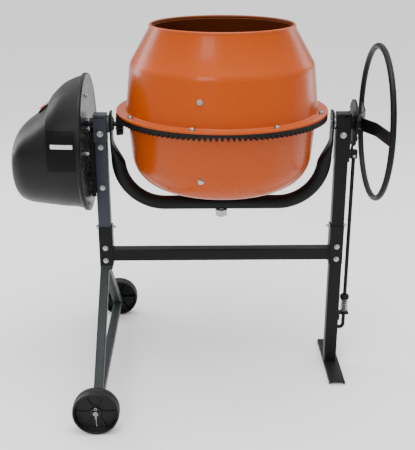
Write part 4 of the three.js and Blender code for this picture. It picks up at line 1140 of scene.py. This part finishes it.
for end, side in (("front", -1), ("rear", 1)):
    node, pin = f"wheel_{end}", f"split_pin_{end}"
    centre = Vector((axle.x, 0, axle.z))
    lathe(node, [(r, side * h) for r, h in rounded(outline, 0, 5)], centre, "Y", 96, 40)
    bm = bmesh.new()
    rib_half, rib_end = 2.4 * mm, wheel_r - 8.5 * mm
    rib = rounded(rectangle(-rib_half, 15 * mm, rib_half, rib_end), 0.8 * mm, 3)
    ends = sorted((side * rib_from, side * rib_to))
    extruded(bm, rib, *ends, centre, "Y")
    ribs = made_real(
        seed(f"{node}_ribs", bm), around, count=6, centre=centre, axis=(0, 1, 0), finish=tyre_plastic
    )
    outward(ribs)
    settle(ribs, body_of[node])
    low, high = low_high(pin)
    x, y = axle.x, (low.y + high.y) / 2
    wire_r = 1.054 * mm
    eye_r = 3.9 * mm
    eye = Vector((x, y, high.z - 5.6 * mm))
    loop = [
        eye + eye_r * Vector((math.sin(a), 0, -math.cos(a)))
        for a in [0.5 + k * 5.3 / 14 for k in range(15)]
    ]
    leg_down = [
        (x + 0.9 * mm, y, axle.z - 12 * mm), (x + 0.6 * mm, y, low.z + 6 * mm),
        (x + 3 * mm, y, low.z + 1.8 * mm),
    ]
    start = [(x + 1.4 * mm, y, axle.z + 7 * mm)]
    tail = [(x - out * mm, y, axle.z + up * mm) for out, up in ((1, 6), (1, -14), (3.4, -20))]
    bm = bmesh.new()
    swept(bm, smooth_path([*leg_down[::-1], *start, *loop, *tail], 4), wire_r, 10)
    fine(bm, pin, smooth=60)
    bm = bmesh.new()
    washer = [(r, side * y) for r, y in rectangle(washer_bore, washer_from, washer_r, washer_to)]
    turned(bm, rounded(washer, 0.3 * mm, 2), centre, "Y", 48)
    as_piece(bm, f"{node}_washer", dark_steel, "frame")
print("wheel radius", round(wheel_r, 3))

# %% [markdown]
# ## Handwheel and locking disc
#
# The handwheel is a ring of tube with a flat bar welded across it. The bar is bent on each side, so that
# its middle sits close to the post and its ends reach the ring. Behind it is a laser-cut disc with a row of
# notches in its lower edge, one for each angle at which the drum can be held.

# %% Handwheel
rim_low, rim_high = low_high("handwheel_rim")
rim_x = (rim_low.x + rim_high.x) / 2
rim_r = (rim_high.y - rim_low.y) / 2 - (rim_high.x - rim_low.x) / 2
rim_tube = 9.2 * mm
rim_middle = rim_high.x - rim_tube
angles = [2 * math.pi * k / 18 for k in range(18)]
circle = [(rim_r + rim_tube * math.cos(a), rim_middle + rim_tube * math.sin(a)) for a in angles]
lathe("handwheel_rim", circle, on_tilt, steps=160, smooth=60)
strap_low, strap_high = low_high("handwheel_strap")
bar = 5 * mm
half = strap_high.y
knee = 0.38 * rim_r
line = [(strap_low.x, -26 * mm, 16 * mm), (rim_x - 20 * mm, -knee, 30 * mm), (rim_x - 3 * mm, -half, 0)]
near = line[::-1] + [(x, -y, r) for x, y, r in line]
far = [(x + bar, y, r) for x, y, r in near[::-1]]
bm = bmesh.new()
extruded(bm, rounded(near + far, 0, 6), strap_low.z, strap_high.z)
fine(bm, "handwheel_strap", edge=0.7 * mm)
bm = bmesh.new()
for side in (-1, 1):
    y = side * (half + 0.5 * mm)
    for x in (rim_x - 3.5 * mm, rim_x + 2.5 * mm):
        bead(bm, [(x, y, strap_low.z + 2 * mm), (x, y, strap_high.z - 2 * mm)], 2 * mm)
as_piece(bm, "handwheel_welds", black_powder, "cradle")
print("handwheel", round(2 * rim_r, 3), "across")

# %% Locking disc
disc_low, disc_high = low_high("lock_disc")
disc_r = disc_high.y + 0.3 * mm
disc_x = disc_low.x + 4 * mm
notch_half, notch_deep, notch_step = 6 * mm, 14 * mm, math.radians(23)
notches = [math.pi + (k - 5) * notch_step for k in range(11)]
plain_edge = []
for a in [2 * math.pi * k / 180 for k in range(180)]:
    if all(abs(math.remainder(a - n, 2 * math.pi)) > 1.12 * notch_half / disc_r for n in notches):
        plain_edge.append(a)
edge_points = []
for a in sorted(plain_edge + notches):
    if a not in notches:
        edge_points.append((disc_r * math.sin(a), disc_r * math.cos(a)))
        continue
    out_way, side_way = Vector((math.sin(a), math.cos(a))), Vector((math.cos(a), -math.sin(a)))
    mouth = math.sqrt(disc_r**2 - notch_half**2)
    for across, height, r in ((-notch_half, mouth, 1.2 * mm), (-notch_half, disc_r - notch_deep, 2 * mm),
                              (notch_half, disc_r - notch_deep, 2 * mm), (notch_half, mouth, 1.2 * mm)):
        point = out_way * height + side_way * across
        edge_points.append((point.x, point.y, r))
bm = bmesh.new()
extruded(bm, rounded(edge_points, 0, 3), disc_x, disc_x + 6 * mm, on_tilt, "X")
disc_boss = rectangle(12.8 * mm, disc_low.x, 20 * mm, disc_high.x)
turned(bm, rounded(disc_boss, 1 * mm), on_tilt, "X", 64)
fine(bm, "lock_disc", edge=0.5 * mm)
print("disc with", len(notches), "notches")

# %% [markdown]
# ## The motor housing
#
# A round sheet-steel plate is screwed to the left post, and a moulded cover fits over it. The cover is the
# one free shape on the machine, so it is described by a few sections: for each distance out from the plate,
# how high, how low and how wide it is. A smooth curve through those numbers gives the sections in between.

# %% Cover surface
plate_low, plate_high = low_high("backplate")
cover_face = low_high("motor_cover")[1].x
housing_z = middle("backplate").z
housing_r = 204 * mm
# distance out, top, bottom, half width, height of the widest line, in millimetres
crown = 0.82  # above the widest line a section is a little fuller than an ellipse
near_sections = [
    (6, 204, -204, 204, 0), (38, 193, -198, 203, 0), (70, 177, -196, 200, 0), (99.5, 149, -192, 196, 0)
]
far_sections = [
    (101, 128, -192, 196, 0), (140, 96, -187, 190, -2), (175, 72, -181, 181, -10), (198, 53, -170, 164, -24),
    (209, 34, -152, 146, -38), (213.5, 12, -128, 120, -46),
]


cover_sections = smooth_path(near_sections, 8) + smooth_path(far_sections, 8)


def cover_point(row, angle, lift=0.0):
    """A point on the cover's skin; angle 0 is towards +Y and a quarter turn is up."""
    out_by, top, bottom, half_width, widest = [value * mm for value in row]
    c, s = math.cos(angle), math.sin(angle)
    height = top - widest if s > 0 else widest - bottom
    power = crown if s > 0 else 1.0
    y = math.copysign(abs(c) ** power, c) * (half_width + lift)
    z = widest + math.copysign(abs(s) ** power, s) * (height + lift)
    return Vector((cover_face - out_by - lift, y, housing_z + z))


AROUND = 128
def cover_skin(bm, inset):
    """The rings of one skin of the cover, from its mouth to its nose."""
    angles = [2 * math.pi * (k + 0.5) / AROUND for k in range(AROUND)]
    rings = [[bm.verts.new(cover_point(row, a, -inset)) for a in angles] for row in cover_sections]
    mouth = [bm.verts.new(Vector((cover_face, vert.co.y, vert.co.z))) for vert in rings[0]]
    joined(bm, [mouth, *rings])
    bm.faces.new(rings[-1])
    return mouth


bm = bmesh.new()
joined(bm, [cover_skin(bm, 0), cover_skin(bm, 3 * mm)])
flange_deep = 13 * mm
flange = [
    (housing_r - 9 * mm, cover_face - flange_deep), (housing_r, cover_face - flange_deep, 2 * mm),
    (housing_r + 2 * mm, cover_face - flange_deep + 3 * mm, 2 * mm),
    (housing_r + 7 * mm, cover_face - flange_deep + 4 * mm, 3 * mm),
    (housing_r + 7 * mm, cover_face, 0.8 * mm), (housing_r - 9 * mm, cover_face),
]
print("cover sections:", len(cover_sections))

# %% Openings in the cover
def carved(piece, tools):
    """Cuts closed tools out of a piece and takes the tools away."""
    for tool in tools:
        knife = piece.modifiers.new("cut", "BOOLEAN")
        knife.operation = "DIFFERENCE"
        knife.solver = "EXACT"
        knife.object = tool
    worked_out(piece)
    for tool in tools:
        bpy.data.objects.remove(tool)


def placed(bm, centre, right, up):
    """Moves what bm holds from the XY plane to a centre, with its X to the right and its Y up."""
    right, up = Vector(right).normalized(), Vector(up).normalized()
    front = right.cross(up)
    for vert in bm.verts:
        u, v, w = vert.co
        vert.co = Vector(centre) + right * u + up * v + front * w


slope_angle = math.atan2(38, 46.5)  # the face that carries the switch falls 38 mm over 46.5 mm
down_slope = Vector((-math.cos(slope_angle), 0, -math.sin(slope_angle)))
off_slope = Vector((-math.sin(slope_angle), 0, math.cos(slope_angle)))
start_mid, stop_mid = middle("start_button"), middle("stop_button")
switch_centre = (start_mid + stop_mid) / 2 - off_slope * 2.1 * mm
bm_hole = bmesh.new()
hole_u, hole_v = 22 * mm, 17 * mm
extruded(bm_hole, rounded(rectangle(-hole_u, -hole_v, hole_u, hole_v), 3 * mm), -28 * mm, 28 * mm)
placed(bm_hole, switch_centre, down_slope, (0, 1, 0))
tools = [seed("switch hole", bm_hole)]
gland_mid = middle("cable_gland")
bm_hole = bmesh.new()
turned(bm_hole, [(0, -20 * mm), (11 * mm, -20 * mm), (11 * mm, 40 * mm), (0, 40 * mm)], gland_mid, "Y", 32)
tools.append(seed("gland hole", bm_hole))
cover = as_piece(bm, "motor_cover_fine", moulding, "frame", ["motor_cover"], smooth=50)
carved(cover, tools)
outward(cover, 50)
bm = bmesh.new()
turned(bm, rounded(flange, 0, 4), (0, 0, housing_z), "X", 128)
as_piece(bm, "cover_flange", moulding, "frame")
edge_r = housing_r + 7 * mm
fold_r, dish_r, dish_x = edge_r - 8 * mm, edge_r - 10 * mm, plate_high.x - 1 * mm
shape = [
    (0, plate_low.x), (edge_r, plate_low.x, 1 * mm), (edge_r, plate_high.x, 1.2 * mm),
    (fold_r, plate_high.x, 1.2 * mm), (dish_r, dish_x, 0.6 * mm), (0, dish_x),
]
lathe("backplate", rounded(shape, 0, 3, closed=False), (0, 0, housing_z), steps=128, finish_=plate_gloss)
for node, edge in (("housing_bracket", 1), ("motor_bracket", 1), ("rod_guide", 0.8), ("lock_pawl", 1.2),
                   ("left_head_cap", 0.8), ("right_head_cap", 0.8)):
    soften(node, edge * mm)
print("cover", len(cover.data.polygons), "faces")

# %% Switch, buttons and cable gland
for node, edge in (("switch_box", 1.2), ("start_button", 1.6), ("stop_button", 1.6)):
    soften(node, edge * mm, 3)
gland_low, gland_high = low_high("cable_gland")
gland_bore, flange, neck, nut, tip = 5 * mm, 14 * mm, 10.4 * mm, 15 * mm, 9 * mm
flange_to, nut_from, nut_to = gland_low.y + 5 * mm, gland_high.y - 8.5 * mm, gland_high.y - 5 * mm
stub = [
    (gland_bore, gland_low.y), (flange, gland_low.y, 1 * mm), (flange, flange_to, 1 * mm), (neck, flange_to),
    (neck, nut_from), (nut, nut_from, 1 * mm), (nut, nut_to, 1 * mm), (tip, gland_high.y, 1.5 * mm),
    (gland_bore, gland_high.y, 1 * mm),
]
lathe("cable_gland", rounded(stub, 0, 3), (gland_mid.x, 0, gland_mid.z), "Y", 48)
print("switch and gland")

# %% [markdown]
# ## The drum lock
#
# A round rod runs down the right post. Its top carries a pawl that enters a notch of the disc, and near its
# foot a spring stands under a cup, so that the pawl stays in until the cup is pressed down.

# %% Lock
rod_low, rod_high = low_high("lock_rod")
rod_r = 6 * mm
rod_x = rod_high.x - rod_r
rod_foot = rod_low.z + rod_r
bend = 12 * mm
path = [(rod_x, 0, rod_high.z), (rod_x, 0, 0.6), (rod_x, 0, 0.3)]
for a in [k * math.pi / 20 for k in range(11)]:
    path.append((rod_x - bend + bend * math.cos(a), 0, rod_foot + bend - bend * math.sin(a)))
path.append((rod_low.x, 0, rod_foot))
bm = bmesh.new()
swept(bm, path, rod_r, 24)
fine(bm, "lock_rod", edge=0.6 * mm, smooth=40)
cup_low, cup_high = low_high("foot_cup")
cup_bore, sleeve_r, cup_r, cup_top_r = 6.3 * mm, 9 * mm, 15 * mm, 12 * mm
cup_from, cup_to = cup_low.z + 8 * mm, cup_low.z + 17 * mm
cup = [
    (cup_bore, cup_low.z), (sleeve_r, cup_low.z, 1 * mm), (sleeve_r, cup_from), (cup_r, cup_from, 1.5 * mm),
    (cup_r, cup_to, 2 * mm), (cup_top_r, cup_high.z, 2 * mm), (cup_bore, cup_high.z, 0.6 * mm),
]
lathe("foot_cup", rounded(cup, 0, 4), (rod_x, 0, 0), "Z", 48)
spring_low, spring_high = low_high("lock_spring")
wire = 1.5 * mm
coil_r = spring_high.y - wire
turns, steps = 6, 28
rise_from, rise_to = spring_low.z + wire, spring_high.z - wire
helix = []
for k in range(turns * steps + 1):
    t = k / (turns * steps)
    a = 2 * math.pi * turns * t
    helix.append((rod_x + coil_r * math.cos(a), coil_r * math.sin(a), rise_from + (rise_to - rise_from) * t))
bm = bmesh.new()
swept(bm, helix, wire, 10)
fine(bm, "lock_spring", smooth=60)
pin_low, pin_high = low_high("pawl_pin")
pin_z = (pin_low.z + pin_high.z) / 2
head_r, shank_r, head_to = 4.5 * mm, 2.5 * mm, pin_low.y + 2.5 * mm
pin = [
    (0, pin_low.y), (head_r, pin_low.y, 0.8 * mm), (head_r, head_to), (shank_r, head_to),
    (shank_r, pin_high.y, 0.5 * mm), (0, pin_high.y),
]
lathe("pawl_pin", rounded(pin, 0, 3, closed=False), (rod_x, 0, pin_z), "Y", 32)
print("lock rod from", round(rod_low.z, 3), "to", round(rod_high.z, 3))

# %% [markdown]
# ## Bolts
#
# Forty-odd hexagon heads hold the machine together. A tree makes a washer, a chamfered head and a thread
# end from named sizes, and sets one on every point of a mesh, turned to face the way that the point's own
# direction says. So a group of bolts is only a list of places.

# %% A tree for bolts
bolts, given, out = geometry_tree(
    "bolt heads",
    [
        ("Head Width", "Float", 0.013), ("Head Height", "Float", 0.0055), ("Washer Radius", "Float", 0.008),
        ("Washer Thickness", "Float", 0.0014), ("Thread Radius", "Float", 0.004),
        ("Thread Length", "Float", 0.003), ("Finish", "Material", None),
    ],
)


def worked(operation, a, b):
    return node_in(bolts, "ShaderNodeMath", [(0, a), (1, b)], operation=operation)


def lifted(shape, height):
    up = node_in(bolts, "ShaderNodeCombineXYZ", [("Z", height)])
    return node_in(bolts, "GeometryNodeTransform", [("Geometry", shape), ("Translation", up)])


def solid_cone(sides, low_radius, high_radius, depth):
    return node_in(bolts, "GeometryNodeMeshCone", [("Vertices", sides), ("Radius Bottom", low_radius),
                   ("Radius Top", high_radius), ("Depth", depth)])


corner = worked("DIVIDE", given["Head Width"], math.sqrt(3))
narrow = worked("MULTIPLY", corner, 0.88)
chamfer = worked("MULTIPLY", given["Head Height"], 0.2)
straight = worked("MULTIPLY", given["Head Height"], 0.8)
washer_t = given["Washer Thickness"]
washer = solid_cone(28, given["Washer Radius"], given["Washer Radius"], washer_t)
body = lifted(solid_cone(6, corner, corner, straight), washer_t)
top = lifted(solid_cone(6, corner, narrow, chamfer), worked("ADD", washer_t, straight))
end = solid_cone(16, given["Thread Radius"], given["Thread Radius"], given["Thread Length"])
end = lifted(end, worked("ADD", washer_t, given["Head Height"]))
whole = bolts.nodes.new("GeometryNodeJoinGeometry")
for shape in (washer, body, top, end):
    bolts.links.new(shape.outputs[0], whole.inputs[0])
facing = node_in(bolts, "GeometryNodeInputNamedAttribute", [("Name", "facing")], data_type="FLOAT_VECTOR")
aligned = node_in(bolts, "FunctionNodeAlignRotationToVector", [("Vector", facing)], axis="Z")
set_out = node_in(bolts, "GeometryNodeInstanceOnPoints", [("Points", given["Geometry"]),
                  ("Instance", whole), ("Rotation", aligned)])
real = node_in(bolts, "GeometryNodeRealizeInstances", [("Geometry", set_out)])
coated(bolts, real, given, out)
print("tree:", bolts.name)

# %% Bolts on their seats
def bolt_group(name, body, seats, width=13, stands_for=(), **sizes):
    """Seats are (place, direction). width is across the flats in millimetres; the rest follows from it."""
    mesh = bpy.data.meshes.new(name)
    mesh.from_pydata([place for place, _ in seats], [], [])
    facing = mesh.attributes.new("facing", "FLOAT_VECTOR", "POINT")
    for item, (_, way) in zip(facing.data, seats):
        item.vector = Vector(way).normalized()
    piece = in_scene(name, mesh)
    values = {
        "head_width": width * mm, "head_height": 0.42 * width * mm, "washer_radius": 0.66 * width * mm,
        "washer_thickness": 1.4 * mm, "thread_radius": 0.3 * width * mm, "thread_length": 0.2 * width * mm,
    }
    values.update(sizes)
    made_real(piece, bolts, finish=zinc, **values)
    outward(piece, 30)
    settle(piece, body, stands_for)


def radius_at(piece, height):
    """How far a round pressing reaches from the drum's axis at a height above the tilt axis."""
    reach = []
    for edge in piece.data.edges:
        a, b = (piece.data.vertices[i].co - tilt_axis for i in edge.vertices)
        if (a.z - height) * (b.z - height) < 0:
            place = a.lerp(b, (height - a.z) / (b.z - a.z))
            reach.append(math.hypot(place.x, place.y))
    return max(reach)


flange_top = drum_low.z + skin
seats = []
bolt_circle = 303 * mm
for k in range(8):
    a = math.radians(-17 - 45 * k)
    seats.append(((drum_x + bolt_circle * math.cos(a), bolt_circle * math.sin(a), flange_top), (0, 0, 1)))
bolt_group("flange_bolts", "drum", seats)
hub_z = tilt_z + seat - 12.2 * mm
hub_circle = 56 * mm
seats = []
for k in range(6):
    a = math.radians(15 + 60 * k)
    way = Vector((math.cos(a), math.sin(a), 0))
    seats.append((Vector((drum_x, 0, hub_z)) + hub_circle * way, 0.3 * way - Vector((0, 0, 1))))
bolt_group("hub_bolts", "drum", seats, 13, washer_thickness=4 * mm)
seats = []
for angle in (-104, 76):
    way = Vector((math.cos(math.radians(angle)), math.sin(math.radians(angle)), 0))
    for piece, height in ((upper, 123 * mm), (bowl, -103 * mm)):
        lean = (radius_at(piece, height - 8 * mm) - radius_at(piece, height + 8 * mm)) / (16 * mm)
        place = tilt_axis + way * (radius_at(piece, height) - 2 * mm) + Vector((0, 0, height))
        seats.append((place, way + Vector((0, 0, lean))))
bolt_group("paddle_bolts", "drum", seats, 13, washer_thickness=2.6 * mm, thread_length=0.001 * mm)
saddle_face = 20.3 * mm + sheet
cap_face = post / 2 + 0.3 * mm + sheet
x_left, x_right = (left_low.x + left_high.x) / 2, (right_low.x + right_high.x) / 2
low_bolt, high_bolt, side_bolt = cross_low.z + 18 * mm, cross_low.z + 61 * mm, cross_high.z - 5 * mm
seats = []
for x in (x_left, x_right):
    for z in (low_bolt, high_bolt):
        seats += [((x, -saddle_face, z), (0, -1, 0)), ((x, saddle_face, z), (0, 1, 0))]
bolt_group("saddle_bolts", "frame", seats)
seats = [((left_low.x, 0, side_bolt), (-1, 0, 0)), ((right_high.x, 0, side_bolt), (1, 0, 0))]
bracket_bolts = (tilt_z - 69.5 * mm, tilt_z - 199 * mm)
for z in bracket_bolts:
    seats += [((x_left, way * post / 2, z), (0, way, 0)) for way in (-1, 1)]
bolt_group("post_bolts", "frame", seats)
web_face = 0.3 * mm + sheet  # the saddle's web stands this far off the post
seats = [
    ((left_high.x + web_face, 0, side_bolt), (1, 0, 0)), ((right_low.x - web_face, 0, side_bolt), (-1, 0, 0))
]
bolt_group("side_nuts", "frame", seats, 12, thread_length=5 * mm)
seats = [((x_left, way * cap_face, middle("head_bolt_left").z), (0, way, 0)) for way in (-1, 1)]
seats += [((x_right, way * cap_face, middle("head_bolt_right").z), (0, way, 0)) for way in (-1, 1)]
bolt_group("head_bolts", "frame", seats, 15, ["head_bolt_left", "head_bolt_right"])
seats = []
for y, z in ((-31, 93), (46, -15), (-72, -75), (8, -166), (-38, -243)):
    seats.append(((plate_high.x - 1 * mm, y * mm, tilt_z + z * mm), (1, 0, 0)))
bolt_group("backplate_screws", "frame", seats, 10)
print("bolts set")

# %% [markdown]
# ## A blank rating plate
#
# A thin black film is stuck to the cover's side, where a maker prints the ratings. This one has only a pale
# strip to write on. It has to follow the curved side closely, so each of its points is worked out on the
# cover's own section at that distance.

# %% Rating plate
def side_point(out_by, height, lift):
    """A point on the cover's front side at a distance out and a height above its centre, in millimetres."""
    near = [section for section in cover_sections if section[0] <= out_by][-1]
    far = [section for section in cover_sections if section[0] > out_by][0]
    row = near + (far - near) * ((out_by - near[0]) / (far[0] - near[0]))
    widest = row[4]
    tall = row[1] - widest if height > widest else widest - row[2]
    power = crown if height > widest else 1.0
    s = (abs(height - widest) / tall) ** (1 / power)
    half_width = math.sqrt(max(0, 1 - s * s)) ** power * row[3]
    return Vector((cover_face - out_by * mm, -(half_width + lift) * mm, housing_z + height * mm))


def film(name, finish_, out_from, out_to, low, high, lift, columns=18, rows=20):
    """A thin sheet that follows the cover's side."""
    bm = bmesh.new()
    sheets = []
    for height in (lift, lift + 0.5):
        columns_out = [out_from + (out_to - out_from) * i / columns for i in range(columns + 1)]
        heights = [low + (high - low) * j / rows for j in range(rows + 1)]
        sheets.append([[bm.verts.new(side_point(x, z, height)) for z in heights] for x in columns_out])
    for grid in sheets:
        for i in range(columns):
            for j in range(rows):
                bm.faces.new([grid[i][j], grid[i + 1][j], grid[i + 1][j + 1], grid[i][j + 1]])
    edge = [(i, 0) for i in range(columns)] + [(columns, j) for j in range(rows)]
    edge += [(columns - i, rows) for i in range(columns)] + [(0, rows - j) for j in range(rows)]
    for (i, j), (k, m) in zip(edge, edge[1:] + edge[:1]):
        bm.faces.new([sheets[0][i][j], sheets[0][k][m], sheets[1][k][m], sheets[1][i][j]])
    return as_piece(bm, name, finish_, "frame", smooth=40)


film("rating_plate", plate_black, 14, 96, -36, 82, 0.1)
film("rating_plate_strip", plate_white, 20, 84, 32, 44, 0.7, 10, 2)
print("rating plate set on the cover")

# %% [markdown]
# ## Sizes, and the end
#
# The finished mixer must fill the same box as the working model, so how far their corners differ is printed.

# %% Print how far the boxes differ
import json

visual_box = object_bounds()
for before, after in zip(cad_box, visual_box):
    print([round(a - b, 4) for a, b in zip(after, before)])
